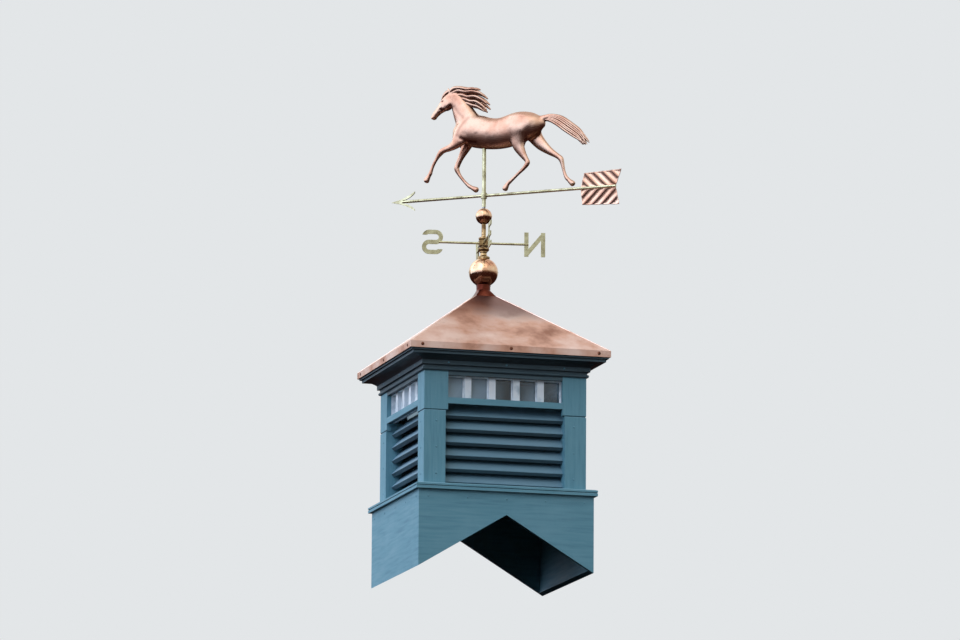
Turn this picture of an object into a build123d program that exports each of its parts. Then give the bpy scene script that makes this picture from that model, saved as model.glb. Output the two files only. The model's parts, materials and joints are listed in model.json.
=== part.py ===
"""Barn cupola: a louvred and glazed ventilator with a copper roof, compass arms and a running horse vane.

The origin is on the floor under the vane's axis, +Z is up and the front is at -Y. The barn's ridge
would run along Y. Sizes are in millimetres and angles in degrees.
"""
import math
import os

from build123d import *

# Base that straddles the barn's ridge
base_width = 762.0
board = 19.0
ridge_cover = 96.0
barn_pitch = 31.0

# Sill shelf on the base
sill_overhang = 14.0
sill_lap = 48.0
sill_thickness = 27.0
sill_groove = 4.0

# Louvre stage
body_width = 708.0
louvre_height = 313.0
louvre_post_width = 94.0
post_chamfer = 3.5
slat_count = 6
slat_start = 1.0
slat_pitch = 56.4
slat_edge = 26.0
slat_slope = 45.0
slat_set_back = 5.0
panel_depth = 50.0

# Window stage
window_height = 240.0
window_post_width = 104.0
rail_rise = 29.0
rail_height = 26.0
light_height = 95.0
light_count = 5
muntin_width = 29.0
sash_depth = 22.0
sash_lap = 20.0
glass_thickness = 4.0

# Crown moulding
crown_height = 73.0
crown_reach = 67.0
bead_height = 12.0
bead_reach = 9.0
crown_gap = 12.0
fascia_height = 18.0
fascia_reach = 14.0
crown_lip = 12.0

# Soffit and roof
soffit_clearance = 6.0
soffit_lap = 24.0
soffit_thickness = 12.0
eave_width = 875.0
roof_pitch = 35.5
rim_height = 27.0
rim_drop = 5.0
copper = 1.5
deck_thickness = 24.0
roof_top_width = 90.0
deck_hole_width = 24.0

# Finial on the spindle
spindle_radius = 6.35
spindle_clearance = 0.3
spindle_tail = 40.0
spindle_flange_radius = 18.0
spindle_flange = 4.0
neck_height = 47.0
neck_waist_height = 30.0
neck_waist_radius = 30.0
neck_rim_radius = 31.0
neck_rim_height = 5.0
globe_seat = 0.3
globe_sink = 1.5
seam_reach = 0.8
seam_height = 3.0
large_globe = 125.0
small_globe = 70.0
large_globe_height = 62.0
hub_height = 97.0
hub_skirt = 9.0
hub_flange_radius = 27.0
hub_bead_radius = 24.0
hub_collar_radius = 22.0
hub_waist_radius = 13.5
hub_block = 42.0
hub_block_height = 24.0
stem_radius = 9.5
stem_height = 51.0

# Compass arms
compass_yaw = -9.0
arm_reach = 220.0
arm_radius = 5.0
letter_width = 90.0
letter_height = 105.0
letter_stroke = 18.0
letter_thickness = 5.0

# Weathervane
vane_yaw = -39.0
vane_gap = 5.0
tube_radius = 8.5
tube_clearance = 0.1
tube_top_gap = 0.3
tube_cap = 3.0
arrow_height = 49.5
arrow_radius = 6.35
arrow_front = 380.0
arrow_rear = 608.0
arrow_collar_radius = 13.0
arrow_collar_height = 24.0
collar_clearance = 0.2
head_point = 52.0
head_barb = 57.0
head_heel = 7.0
head_span = 84.0
head_thickness = 7.0
feather_root = 447.0
feather_thickness = 3.0
feather_rise = 76.0
feather_sweep = 26.0
flute_pitch = 42.0
flute_width = 15.0
flute_rise = 3.5
flute_slope = 45.0
belly_height = 195.0
horse_pocket = 38.0
horse_wall = 2.0
hollow_limbs = 3
limb_step = 22.0
ear_spread = 11.0
pocket_clearance = 0.3

# Places worked out from the sizes above
base_half = base_width / 2
body_half = body_width / 2
sill_half = base_half + sill_overhang
eave_half = eave_width / 2
roof_slope = math.tan(math.radians(roof_pitch))
ridge_rise = base_half * math.tan(math.radians(barn_pitch))
z_sill = ridge_rise + ridge_cover
z_louvre = z_sill + sill_thickness
z_window = z_louvre + louvre_height
z_light = z_window + rail_rise + rail_height
z_head = z_light + light_height
z_soffit = z_window + window_height
z_deck = z_soffit + soffit_thickness
z_rim = z_deck - rim_drop
z_eave = z_rim + rim_height
z_roof_top = z_eave + (eave_half - roof_top_width / 2) * roof_slope
z_large = z_roof_top + neck_height + large_globe_height
z_hub = z_large + large_globe / 2
z_arms = z_hub + hub_height * 0.66
z_stem = z_hub + hub_height
z_small = z_stem + stem_height - globe_sink + small_globe / 2
z_tube = z_small + small_globe / 2 + vane_gap
z_arrow = z_tube + arrow_height
post_back = body_half - board
tube_bore = spindle_radius + tube_clearance
louvre_opening = body_half - louvre_post_width
window_opening = body_half - window_post_width
z_belly = z_arrow + belly_height
z_tube_top = z_belly + horse_pocket
STANDING = (Align.CENTER, Align.CENTER, Align.MIN)


def face_in_xz(points):
    """Face in the XZ plane through points (x, z), extruded later along -Y or +Y."""
    return make_face(Polyline(*[(x, 0, z) for x, z in points], close=True))


def face_in_yz(edges):
    """Face in the YZ plane of the front, from edges drawn with r (distance outward) and z."""
    return make_face(edges)


def outward(r, z):
    """Point on the front's middle section, r outward from the axis."""
    return (0, -r, z)


def section(points):
    """Straight-sided front section through points (r, z)."""
    return make_face(Polyline(*[outward(r, z) for r, z in points], close=True))


def mitred(face):
    """Front length of a moulding with this section, mitred at both corners."""
    reach = max(vertex.Y * -1 for vertex in face.vertices()) + 10
    low = min(vertex.Z for vertex in face.vertices()) - 10
    high = max(vertex.Z for vertex in face.vertices()) + 10
    length = extrude(face, amount=reach, dir=(1, 0, 0), both=True)
    corner = make_face(Polyline((0, 0, low), (-reach, -reach, low), (reach, -reach, low), close=True))
    return length & extrude(corner, amount=high - low, dir=(0, 0, 1))


def turned(shape, side):
    """The front piece turned to side 0 front, 1 right, 2 back or 3 left."""
    return Rot(0, 0, 90 * side) * shape


def block(x0, x1, y0, y1, z0, z1):
    """Box between two corners."""
    return Pos((x0 + x1) / 2, (y0 + y1) / 2, (z0 + z1) / 2) * Box(x1 - x0, y1 - y0, z1 - z0)


def end_board():
    """Front or back base board, notched to straddle the ridge."""
    outline = [(-base_half, 0), (0, ridge_rise), (base_half, 0), (base_half, z_sill), (-base_half, z_sill)]
    return Pos(0, -base_half + board, 0) * extrude(face_in_xz(outline), amount=board, dir=(0, -1, 0))


def side_board():
    """Left or right base board in the front's place, its lower edge bevelled to the roof's slope."""
    bevel = board * math.tan(math.radians(barn_pitch))
    outline = [(base_half, 0), (base_half, z_sill), (base_half - board, z_sill), (base_half - board, bevel)]
    return extrude(section(outline), amount=base_half - board, dir=(1, 0, 0), both=True)


def sill_length():
    """One mitred length of the sill shelf, with a groove along its nosing."""
    inner = body_half - sill_lap
    middle = z_sill + sill_thickness / 2
    outline = [
        (inner, z_sill), (sill_half, z_sill), (sill_half, middle - sill_groove / 2),
        (sill_half - sill_groove, middle), (sill_half, middle + sill_groove / 2),
        (sill_half, z_louvre - sill_groove), (sill_half - sill_groove * 2, z_louvre), (inner, z_louvre),
    ]
    return mitred(section(outline))


def corner_post(width, low, high, chamfer_low, chamfer_high):
    """L-shaped corner post at the front left corner, its outer edges eased at the stage joint."""
    outer = -body_half
    inner = outer + board
    outline = [
        (outer, outer), (outer + width, outer), (outer + width, inner),
        (inner, inner), (inner, outer + width), (outer, outer + width),
    ]
    post = extrude(make_face(Polyline(*[(x, y, low) for x, y in outline], close=True)), amount=high - low)
    for level, wanted in ((low, chamfer_low), (high, chamfer_high)):
        if wanted:
            rim = post.edges().filter_by_position(Axis.Z, level, level)
            faced = [e for e in rim if min(e.center().X, e.center().Y) < outer + 0.01]
            post = chamfer(faced, post_chamfer)
    return post


def louvre_panel():
    """Stiles behind the posts with the sloping slats let into them, for the front."""
    face = post_back
    stile_top = z_light - sash_lap
    panel = Part()
    for side in (-1, 1):
        x0 = side * louvre_opening
        x1 = side * (louvre_opening + board)
        panel += block(min(x0, x1), max(x0, x1), -face, -face + panel_depth, z_louvre, stile_top)
    front = face - slat_set_back
    back = face - panel_depth
    run = front - back
    rise = run * math.tan(math.radians(slat_slope))
    for number in range(slat_count):
        low = z_louvre + slat_start + slat_pitch * number
        outline = [(front, low), (front, low + slat_edge), (back, low + slat_edge + rise), (back, low + rise)]
        slat = extrude(section(outline), amount=louvre_opening + 1.0, dir=(1, 0, 0), both=True)
        panel += slat & block(-body_half, body_half, -body_half, 0, z_louvre, stile_top)
    return panel


def window_rail(low, high):
    """Level rail between the window posts of the front."""
    return block(-window_opening, window_opening, -body_half, -post_back, low, high)


def sash():
    """White sash behind the opening: a frame with upright bars between its lights."""
    half = window_opening + sash_lap
    front = -post_back
    frame = block(-half, half, front, front + sash_depth, z_light - sash_lap, z_head + sash_lap)
    light = (2 * window_opening - (light_count - 1) * muntin_width) / light_count
    for number in range(light_count):
        x0 = -window_opening + number * (light + muntin_width)
        frame -= block(x0, x0 + light, front - 1, front + sash_depth + 1, z_light, z_head)
    return frame


def glass_sheet():
    """Sheet of glass on the inner side of the sash."""
    half = window_opening + sash_lap
    face = -post_back + sash_depth
    return block(-half, half, face, face + glass_thickness, z_light - sash_lap, z_head + sash_lap)


def crown_length():
    """Mitred length of the moulding under the eave: bead, gap, fascia and cove."""
    back = body_half
    low = z_soffit - crown_height
    bead = back + bead_reach
    fascia = back + fascia_reach
    nose = back + crown_reach
    z_bead = low + bead_height
    z_fascia = z_bead + crown_gap
    z_cove = z_fascia + fascia_height
    z_lip = z_soffit - crown_lip
    bow = 0.7
    middle = outward(
        fascia + (nose - fascia) * (1 - bow) + 4.0,
        z_cove + (z_lip - z_cove) * bow,
    )
    line = Polyline(
        outward(nose, z_lip), outward(nose, z_soffit), outward(back, z_soffit), outward(back, low),
        outward(bead - 2.5, low),
    )
    line += ThreePointArc(
        outward(bead - 2.5, low), outward(bead, (low + z_bead) / 2), outward(bead - 2.5, z_bead)
    )
    line += Polyline(
        outward(bead - 2.5, z_bead), outward(back + 3.0, z_bead), outward(back + 3.0, z_fascia),
        outward(fascia, z_fascia), outward(fascia, z_cove),
    )
    line += ThreePointArc(outward(fascia, z_cove), middle, outward(nose, z_lip))
    return mitred(face_in_yz(line))


def soffit_board():
    """Mitred board that closes the underside of the eave."""
    outer = eave_half - copper - soffit_clearance
    inner = body_half - soffit_lap
    return mitred(section([(inner, z_soffit), (outer, z_soffit), (outer, z_deck), (inner, z_deck)]))


def roof_line(r, lift):
    """Height of the roof slope at r, lift below the copper's outer face measured square to it."""
    return z_eave + (eave_half - r) * roof_slope - lift / math.cos(math.radians(roof_pitch))


def deck_panel():
    """One mitred slope of the boarded deck under the copper."""
    edge = eave_half - copper
    z_top = z_roof_top - copper
    top = eave_half - (z_top + copper / math.cos(math.radians(roof_pitch)) - z_eave) / roof_slope
    inner = deck_hole_width / 2
    under = copper + deck_thickness
    seat = eave_half - (z_deck + under / math.cos(math.radians(roof_pitch)) - z_eave) / roof_slope
    outline = [
        (edge, z_deck), (edge, roof_line(edge, copper)), (top, z_top), (inner, z_top),
        (inner, roof_line(inner, under)), (seat, z_deck),
    ]
    return mitred(section(outline))


def square_at(half, z):
    """Square face of this half width at height z."""
    return Pos(0, 0, z) * Rectangle(2 * half, 2 * half)


def copper_roof():
    """Folded copper skin with an upright rim, open below and flat on top round the spindle."""
    top = roof_top_width / 2
    outer = extrude(square_at(eave_half, z_rim), amount=rim_height)
    outer += loft([square_at(eave_half, z_eave).face(), square_at(top, z_roof_top).face()])
    edge = eave_half - copper
    z_edge = roof_line(edge, copper)
    z_in = z_roof_top - copper
    top_in = eave_half - (z_in + copper / math.cos(math.radians(roof_pitch)) - z_eave) / roof_slope
    inner = extrude(square_at(edge, z_rim), amount=z_edge - z_rim)
    inner += loft([square_at(edge, z_edge).face(), square_at(top_in, z_in).face()])
    hole = Pos(0, 0, z_roof_top) * Cylinder(spindle_radius + spindle_clearance, 20)
    return outer - inner - hole


def globe(diameter, z):
    """Hollow copper globe of two spun halves with a raised seam, bored for the spindle."""
    radius = diameter / 2
    ball = Pos(0, 0, z) * Sphere(radius)
    ball += Pos(0, 0, z) * Cylinder(radius + seam_reach, seam_height)
    ball -= Pos(0, 0, z) * Sphere(radius - copper)
    bore = Cylinder(spindle_radius + spindle_clearance, diameter + 10)
    return ball - Pos(0, 0, z) * bore


def neck():
    """Copper neck that changes from the square roof top to a round cup under the large globe."""
    half = roof_top_width / 2 - 1.0
    z_waist = z_roof_top + neck_waist_height
    bore = neck_waist_radius - copper
    z_cup = z_large - math.sqrt((large_globe / 2 + globe_seat) ** 2 - bore**2)
    waist = Pos(0, 0, z_waist) * Circle(neck_waist_radius)
    body = loft([square_at(half, z_roof_top).face(), waist.face()])
    body += Pos(0, 0, z_waist) * Cylinder(neck_waist_radius, z_cup - z_waist, align=STANDING)
    body += Pos(0, 0, z_cup - neck_rim_height) * Cylinder(neck_rim_radius, neck_rim_height, align=STANDING)
    waist_in = Pos(0, 0, z_waist) * Circle(bore)
    hollow = loft([square_at(half - copper, z_roof_top).face(), waist_in.face()])
    hollow += Pos(0, 0, z_waist) * Cylinder(bore, z_cup - z_waist + 1, align=STANDING)
    return body - hollow


def hub():
    """Turned brass hub with a square block for the arms and the stem that carries the small globe."""
    r_block = hub_block / 2
    z0 = z_hub - hub_skirt
    flange = hub_flange_radius
    waist = hub_waist_radius
    bead = hub_bead_radius
    collar = hub_collar_radius
    z_top = z_stem + stem_height
    line = Polyline((0, 0, z_top), (0, 0, z0), (flange, 0, z0), (flange, 0, z_hub + 4))
    line += ThreePointArc((flange, 0, z_hub + 4), (waist + 3, 0, z_hub + 10), (waist, 0, z_hub + 22))
    line += Polyline((waist, 0, z_hub + 22), (waist + 3, 0, z_hub + 24), (waist + 3, 0, z_hub + 28))
    line += ThreePointArc((waist + 3, 0, z_hub + 28), (bead, 0, z_hub + 37), (waist + 3, 0, z_hub + 46))
    line += Polyline((waist + 3, 0, z_hub + 46), (waist, 0, z_hub + 48), (waist, 0, z_hub + 78))
    line += ThreePointArc((waist, 0, z_hub + 78), (collar, 0, z_hub + 84), (waist, 0, z_hub + 90))
    line += ThreePointArc((waist, 0, z_hub + 90), (stem_radius + 1, 0, z_stem - 3), (stem_radius, 0, z_stem))
    line += Polyline((stem_radius, 0, z_stem), (stem_radius, 0, z_top), (0, 0, z_top))
    body = revolve(make_face(line), Axis.Z)
    body += Pos(0, 0, z_arms) * Rot(0, 0, compass_yaw) * Box(2 * r_block, 2 * r_block, hub_block_height)
    body -= Pos(0, 0, z_large) * Sphere(large_globe / 2 + globe_seat)
    body -= Pos(0, 0, z_large) * Cylinder(large_globe / 2 + 1.5, 4.0)
    body -= Pos(0, 0, z_small) * Sphere(small_globe / 2 + globe_seat)
    bore = Cylinder(spindle_radius + spindle_clearance, z_top - z0 + 2, align=STANDING)
    return body - Pos(0, 0, z0 - 1) * bore


def spindle():
    """Fixed rod from under the deck to the vane's cap, with the flange that clamps it to the roof."""
    z0 = z_roof_top - spindle_tail
    z1 = z_tube_top - tube_cap - tube_top_gap
    rod = Pos(0, 0, z0) * Cylinder(spindle_radius, z1 - z0, align=STANDING)
    return rod + Pos(0, 0, z_roof_top) * Cylinder(spindle_flange_radius, spindle_flange, align=STANDING)


def stroke(a, b):
    """Bar of one letter between two points, as wide as the letter's stroke and square at its ends."""
    ax, az = a
    bx, bz = b
    length = math.hypot(bx - ax, bz - az)
    angle = math.degrees(math.atan2(bz - az, bx - ax))
    bar = Box(length, letter_thickness, letter_stroke)
    return Pos((ax + bx) / 2, 0, (az + bz) / 2) * Rot(0, -angle, 0) * bar


def bowl(centre):
    """Closed round-ended band of one letter stroke, half of the letter high, about this height."""
    height = (letter_height + letter_stroke) / 2
    inner = SlotOverall(letter_width - 2 * letter_stroke, height - 2 * letter_stroke)
    band = SlotOverall(letter_width, height) - inner
    return extrude(Plane.XZ * Pos(0, centre) * band, amount=letter_thickness / 2, both=True)


def rounded_s():
    """The letter S from two bowls, each opened on one side."""
    w = letter_width / 2 + 1
    h = letter_height / 2
    t = letter_stroke
    centre = (letter_height - t) / 4
    deep = letter_thickness
    upper = bowl(centre) - block(0, w, -deep, deep, -t / 2 - 1, h - 1.2 * t)
    lower = bowl(-centre) - block(-w, 0, -deep, deep, -h + 1.2 * t, t / 2 + 1)
    return upper + lower


def letter(name):
    """Cut-out compass letter, u outward along its arm and v up, centred on the arm's end."""
    w = letter_width / 2
    h = letter_height / 2
    t = letter_stroke / 2
    bars = {
        "north": [((-w + t, -h), (-w + t, h)), ((w - t, -h), (w - t, h)), ((-w + t, -h + t), (w - t, h - t))],
        "east": [
            ((-w + t, -h), (-w + t, h)), ((-w, h - t), (w, h - t)), ((-w, 0), (w * 0.7, 0)),
            ((-w, -h + t), (w, -h + t)),
        ],
        "west": [
            ((-w + t, h - t), (-w * 0.45, -h + t)), ((-w * 0.45, -h + t), (0, h * 0.35)),
            ((0, h * 0.35), (w * 0.45, -h + t)), ((w * 0.45, -h + t), (w - t, h - t)),
        ],
    }
    shape = rounded_s() if name == "south" else Part()
    for a, b in bars.get(name, []):
        shape += stroke(a, b)
    plate = Box(letter_width, letter_thickness, letter_height)
    return Pos(arm_reach, 0, 0) * (shape & plate)


def compass_arm(name, heading):
    """Brass arm from the hub block with its letter on the end."""
    start = hub_block / 2
    end = arm_reach - letter_width / 2 + letter_stroke
    if name == "west":
        end = arm_reach
    rod = Pos((start + end) / 2, 0, 0) * Rot(0, 90, 0) * Cylinder(arm_radius, end - start)
    return Pos(0, 0, z_arms) * Rot(0, 0, compass_yaw + heading) * (rod + letter(name))


def in_vane(shape):
    """Vane piece drawn with +X towards the tail and Z from the arrow, set at its place on the spindle."""
    return Pos(0, 0, z_arrow) * Rot(0, 0, vane_yaw) * shape


def vane_tube():
    """Closed-top tube that turns on the spindle and carries the arrow and the horse."""
    tube = Pos(0, 0, z_tube) * Cylinder(tube_radius, z_tube_top - z_tube, align=STANDING)
    depth = z_tube_top - tube_cap - z_tube + 1
    return tube - Pos(0, 0, z_tube - 1) * Cylinder(tube_bore, depth, align=STANDING)


def arrow_shaft():
    """Arrow shaft with the collar that grips the tube, its rear end slotted for the feather."""
    length = arrow_rear + arrow_front
    shaft = Pos((arrow_rear - arrow_front) / 2, 0, 0) * Rot(0, 90, 0) * Cylinder(arrow_radius, length)
    shaft += Cylinder(arrow_collar_radius, arrow_collar_height)
    shaft -= Cylinder(tube_radius + collar_clearance, arrow_collar_height + 1)
    slot = feather_thickness + 2 * collar_clearance
    shaft -= block(feather_root - 1, arrow_rear + 1, -slot / 2, slot / 2, -arrow_radius - 1, arrow_radius + 1)
    return in_vane(shaft)


def arrow_head():
    """Anchor-shaped arrowhead with two barbs that sweep back."""
    half = head_span / 2
    throat = -arrow_front
    tip = (throat - head_point, 0, 0)
    barb = (throat + head_barb, 0, half)
    heel = (throat + head_barb - 1, 0, half - head_heel)
    brow = (throat - 12, 0, 9)
    root = (throat, 0, arrow_radius)
    upper = Line(tip, brow) + ThreePointArc(brow, (throat + 22, 0, half * 0.52), barb) + Line(barb, heel)
    upper += ThreePointArc(heel, (throat + 22, 0, half * 0.28), root) + Line(root, (throat, 0, 0))
    upper += Line((throat, 0, 0), tip)
    plate = extrude(make_face(upper), amount=head_thickness / 2, dir=(0, 1, 0), both=True)
    return in_vane(plate + mirror(plate, Plane.XY))


def feather():
    """Copper feather in the shaft's slot, swept back above and below, with pressed flutes."""
    front = feather_root
    rear = arrow_rear
    sweep = feather_sweep
    rise = feather_rise
    top = [(front, 0), (front + sweep * 0.6, rise * 0.85), (rear + sweep, rise * 0.95), (rear, 0)]
    foot = [(rear, 0), (rear + sweep * 0.6, -rise * 1.05), (front + sweep * 0.3, -rise * 0.95), (front, 0)]
    edge = arrow_radius + collar_clearance
    high = rise * 1.1
    count = int((rear + sweep + rise - front) / flute_pitch) + 1
    plate = Part()
    for outline, way in ((top, 1), (foot, -1)):
        plate += extrude(face_in_xz(outline), amount=feather_thickness / 2, dir=(0, 1, 0), both=True)
        room = extrude(face_in_xz(outline), amount=flute_rise + 1, dir=(0, 1, 0), both=True)
        low, top_edge = sorted((way * edge, way * high))
        room &= block(front, rear + sweep, -high, high, low, top_edge)
        for number in range(count):
            rib = extrude(Ellipse(flute_width / 2, flute_rise), amount=2 * rise, both=True)
            turn = Pos(front + flute_pitch * (number + 0.5), 0, 0) * Rot(0, -way * flute_slope, 0)
            plate += (turn * rib) & room
    return in_vane(plate)


def evened(stations):
    """Places, directions and half sizes at even steps along a smooth line through the stations."""
    spots = [Vector(x, 0, z) for x, z, along, across in stations]
    line = Spline(*spots)
    count = max(3, round(line.length / limb_step))
    travelled = [0.0]
    for before, after in zip(spots[:-1], spots[1:]):
        travelled.append(travelled[-1] + (after - before).length)
    rows = []
    for number in range(count + 1):
        share = number / count
        way = share * travelled[-1]
        span = min(max(k for k, passed in enumerate(travelled) if passed <= way), len(stations) - 2)
        part_way = min(1.0, (way - travelled[span]) / (travelled[span + 1] - travelled[span]))
        first = stations[span]
        second = stations[span + 1]
        along = first[2] + (second[2] - first[2]) * part_way
        across = first[3] + (second[3] - first[3]) * part_way
        rows.append((line.position_at(share), line.tangent_at(share), along, across))
    return rows


def limb(side, stations):
    """Smooth limb with oval sections through stations (x, z, half depth, half width) at a side offset."""
    sections = []
    for spot, way, along, across in evened(stations):
        plane = Plane(origin=(spot.X, side, spot.Z), x_dir=(0, 1, 0), z_dir=(way.X, 0, way.Z))
        sections.append((plane * Ellipse(across, along)).face())
    return loft(sections)


def horse_limbs():
    """Side offset and stations of each limb of the running horse, the barrel first."""
    trunk = (0, [
        (-133, 262, 24, 15), (-112, 276, 50, 33), (-70, 287, 68, 44), (-10, 279, 73, 48), (50, 267, 70, 47),
        (105, 272, 70, 47), (160, 284, 74, 48), (215, 288, 68, 44), (252, 290, 46, 30), (272, 292, 22, 14),
    ])
    neck_line = (0, [
        (-72, 300, 52, 34), (-92, 345, 50, 30), (-112, 385, 42, 25), (-130, 420, 34, 21), (-146, 452, 24, 17),
    ])
    head_line = (0, [
        (-138, 452, 18, 14), (-160, 434, 31, 20), (-188, 412, 26, 19), (-214, 390, 19, 15),
        (-240, 369, 16, 13), (-256, 358, 9, 8),
    ])
    tail = (0, [
        (256, 308, 16, 12), (290, 319, 13, 11), (330, 309, 20, 12), (372, 284, 25, 13), (415, 250, 24, 12),
        (452, 219, 16, 9), (482, 196, 5, 4),
    ])
    fore_reaching = (-24, [
        (-84, 262, 34, 22), (-120, 232, 23, 17), (-150, 214, 16, 13), (-188, 201, 12, 10), (-213, 170, 8, 7),
        (-231, 138, 7, 7), (-241, 110, 9, 8), (-254, 87, 10, 9),
    ])
    fore_folded = (24, [
        (-88, 252, 34, 22), (-108, 208, 19, 16), (-126, 170, 13, 12), (-138, 130, 11, 10), (-122, 98, 8, 7),
        (-98, 70, 7, 7), (-76, 50, 8, 8), (-47, 36, 10, 9),
    ])
    hind_folded = (-22, [
        (178, 285, 34, 15), (172, 218, 38, 20), (188, 158, 19, 14), (206, 122, 11, 10), (184, 94, 9, 8),
        (150, 66, 7, 7), (122, 42, 8, 8), (108, 22, 10, 9),
    ])
    hind_reaching = (24, [
        (206, 268, 50, 26), (252, 214, 32, 20), (296, 176, 18, 14), (340, 146, 12, 10), (352, 112, 8, 8),
        (362, 78, 8, 7), (376, 50, 8, 8), (398, 30, 10, 9),
    ])
    return trunk, neck_line, head_line, tail, fore_reaching, fore_folded, hind_folded, hind_reaching


def mane_and_ears():
    """Side offset and stations of the mane's three streaming locks and the two ears."""
    high = (0, [
        (-158, 452, 16, 12), (-130, 472, 16, 11), (-88, 474, 12, 9), (-50, 468, 9, 7), (-26, 468, 3, 3),
    ])
    middle = (0, [(-124, 436, 24, 12), (-84, 452, 14, 10), (-36, 443, 11, 8), (10, 432, 3, 3)])
    low = (0, [(-104, 404, 24, 12), (-66, 424, 13, 9), (-22, 408, 11, 7), (17, 392, 3, 3)])
    ear = [(-150, 460, 8, 5), (-148, 476, 7, 4), (-144, 492, 2, 2)]
    return high, middle, low, (-ear_spread, ear), (ear_spread, ear)


def horse():
    """Running horse of hollow copper: limbs fused about the barrel, with a pocket for the tube."""
    limbs = horse_limbs()
    body = Part()
    for side, stations in limbs + mane_and_ears():
        body += limb(side, stations)
    hollow = Part()
    for side, stations in limbs[:hollow_limbs]:
        thinned = [(x, z, along - horse_wall, across - horse_wall) for x, z, along, across in stations]
        hollow += limb(side, thinned)
    pocket = z_tube_top + pocket_clearance - z_arrow
    drill = Cylinder(tube_radius + pocket_clearance, pocket, align=STANDING)
    return in_vane(body - hollow - drill)


def combine(shapes):
    """Several solids that share one node."""
    return Compound(children=list(shapes))


def build_parts():
    """Every node's name and shape."""
    sides = ("front", "right", "back", "left")
    nodes = {}
    for number, name in enumerate(sides):
        piece = end_board() if number % 2 == 0 else side_board()
        nodes[f"base_{name}"] = turned(piece, number)
        nodes[f"sill_{name}"] = turned(sill_length(), number)
        nodes[f"louvre_{name}"] = turned(louvre_panel(), number)
        nodes[f"sash_{name}"] = turned(sash(), number)
        nodes[f"glass_{name}"] = turned(glass_sheet(), number)
        nodes[f"crown_{name}"] = turned(crown_length(), number)
    louvre_post = corner_post(louvre_post_width, z_louvre, z_window, False, True)
    window_post = corner_post(window_post_width, z_window, z_soffit, True, False)
    low_rail = window_rail(z_window + rail_rise, z_light)
    high_rail = window_rail(z_head, z_soffit)
    nodes["louvre_posts"] = combine(turned(louvre_post, n) for n in range(4))
    nodes["window_posts"] = combine(turned(window_post, n) for n in range(4))
    nodes["window_rails"] = combine(turned(low_rail, n) for n in range(4))
    nodes["head_rails"] = combine(turned(high_rail, n) for n in range(4))
    nodes["soffit"] = combine(turned(soffit_board(), n) for n in range(4))
    nodes["roof_deck"] = combine(turned(deck_panel(), n) for n in range(4))
    nodes["copper_roof"] = copper_roof()
    nodes["neck"] = neck()
    nodes["large_globe"] = globe(large_globe, z_large)
    nodes["small_globe"] = globe(small_globe, z_small)
    nodes["compass_hub"] = hub()
    nodes["spindle"] = spindle()
    for name, heading in (("north", 0), ("west", 90), ("south", 180), ("east", 270)):
        nodes[f"arm_{name}"] = compass_arm(name, heading)
    nodes["vane_tube"] = vane_tube()
    nodes["arrow_shaft"] = arrow_shaft()
    nodes["arrow_head"] = arrow_head()
    nodes["arrow_feather"] = feather()
    nodes["horse"] = horse()
    return nodes


if __name__ == "__main__":
    os.makedirs("parts", exist_ok=True)
    for node, shape in build_parts().items():
        export_step(shape, f"parts/{node}.step")
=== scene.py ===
"""Looks of the barn cupola: painted timber, white sashes, glass, copper, brass and a vane."""

import json
import logging
import math
from dataclasses import dataclass
from enum import Enum
from typing import Callable, Iterable, Sequence

import bmesh
import bpy
import numpy as np
from mathutils import Matrix, Vector

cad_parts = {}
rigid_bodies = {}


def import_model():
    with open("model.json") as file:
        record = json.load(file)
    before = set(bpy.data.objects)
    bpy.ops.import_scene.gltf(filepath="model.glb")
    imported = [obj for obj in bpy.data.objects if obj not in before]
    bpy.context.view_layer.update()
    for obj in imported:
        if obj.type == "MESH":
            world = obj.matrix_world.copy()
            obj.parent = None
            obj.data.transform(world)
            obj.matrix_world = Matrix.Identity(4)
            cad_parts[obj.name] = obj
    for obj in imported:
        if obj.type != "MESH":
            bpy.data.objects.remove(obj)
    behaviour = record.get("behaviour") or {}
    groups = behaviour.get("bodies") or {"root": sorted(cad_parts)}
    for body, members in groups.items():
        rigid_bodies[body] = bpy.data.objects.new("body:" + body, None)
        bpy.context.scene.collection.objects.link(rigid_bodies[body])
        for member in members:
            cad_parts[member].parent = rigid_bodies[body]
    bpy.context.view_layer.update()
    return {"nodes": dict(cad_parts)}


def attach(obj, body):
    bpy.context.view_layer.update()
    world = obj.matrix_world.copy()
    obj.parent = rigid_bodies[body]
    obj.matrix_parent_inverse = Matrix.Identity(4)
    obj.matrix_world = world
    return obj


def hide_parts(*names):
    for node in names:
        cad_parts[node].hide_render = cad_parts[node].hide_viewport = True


for leftover in list(bpy.data.objects):
    bpy.data.objects.remove(leftover)
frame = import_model()

LOG = logging.getLogger("cupola")
# One millimetre, in metres.
MM = 0.001
Point = tuple[float, float, float]
Node = bpy.types.Node
Socket = bpy.types.NodeSocket
Tree = bpy.types.NodeTree
Piece = bpy.types.Object

# The Mix node's sockets for colours, which share their names with its sockets for numbers.
SHARE, UNDER, OVER, MIXED = 0, 6, 7, 2
# The attribute that says how far the finish darkens a point: how far it lies in a pressed form,
# and painted shade on the lower side of tubes.
HOLLOW_AND_SHADE = "hollow"
# The seed for how the screws lean.
SEED = 11
# Points closer than this, in metres, are merged.
WELD = 1e-6
# A square's corners in order, and the faces of a box with its low square first.
CORNERS = ((-1, -1), (1, -1), (1, 1), (-1, 1))
BOX_FACES = ((0, 1, 2, 3), (4, 5, 6, 7), (0, 1, 5, 4), (1, 2, 6, 5), (2, 3, 7, 6), (3, 0, 4, 7))


class Side(Enum):
    """The four sides of the cupola, counted as quarter turns from the front."""

    FRONT = 0
    RIGHT = 1
    BACK = 2
    LEFT = 3

    @property
    def angle(self) -> float:
        """The angle between the front and this side."""
        return math.pi / 2 * self.value

    @property
    def turn(self) -> Matrix:
        """The turn that takes a front piece to this side."""
        return Matrix.Rotation(self.angle, 4, "Z")

    @property
    def word(self) -> str:
        """The side's word in a node's name."""
        return self.name.lower()


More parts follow.
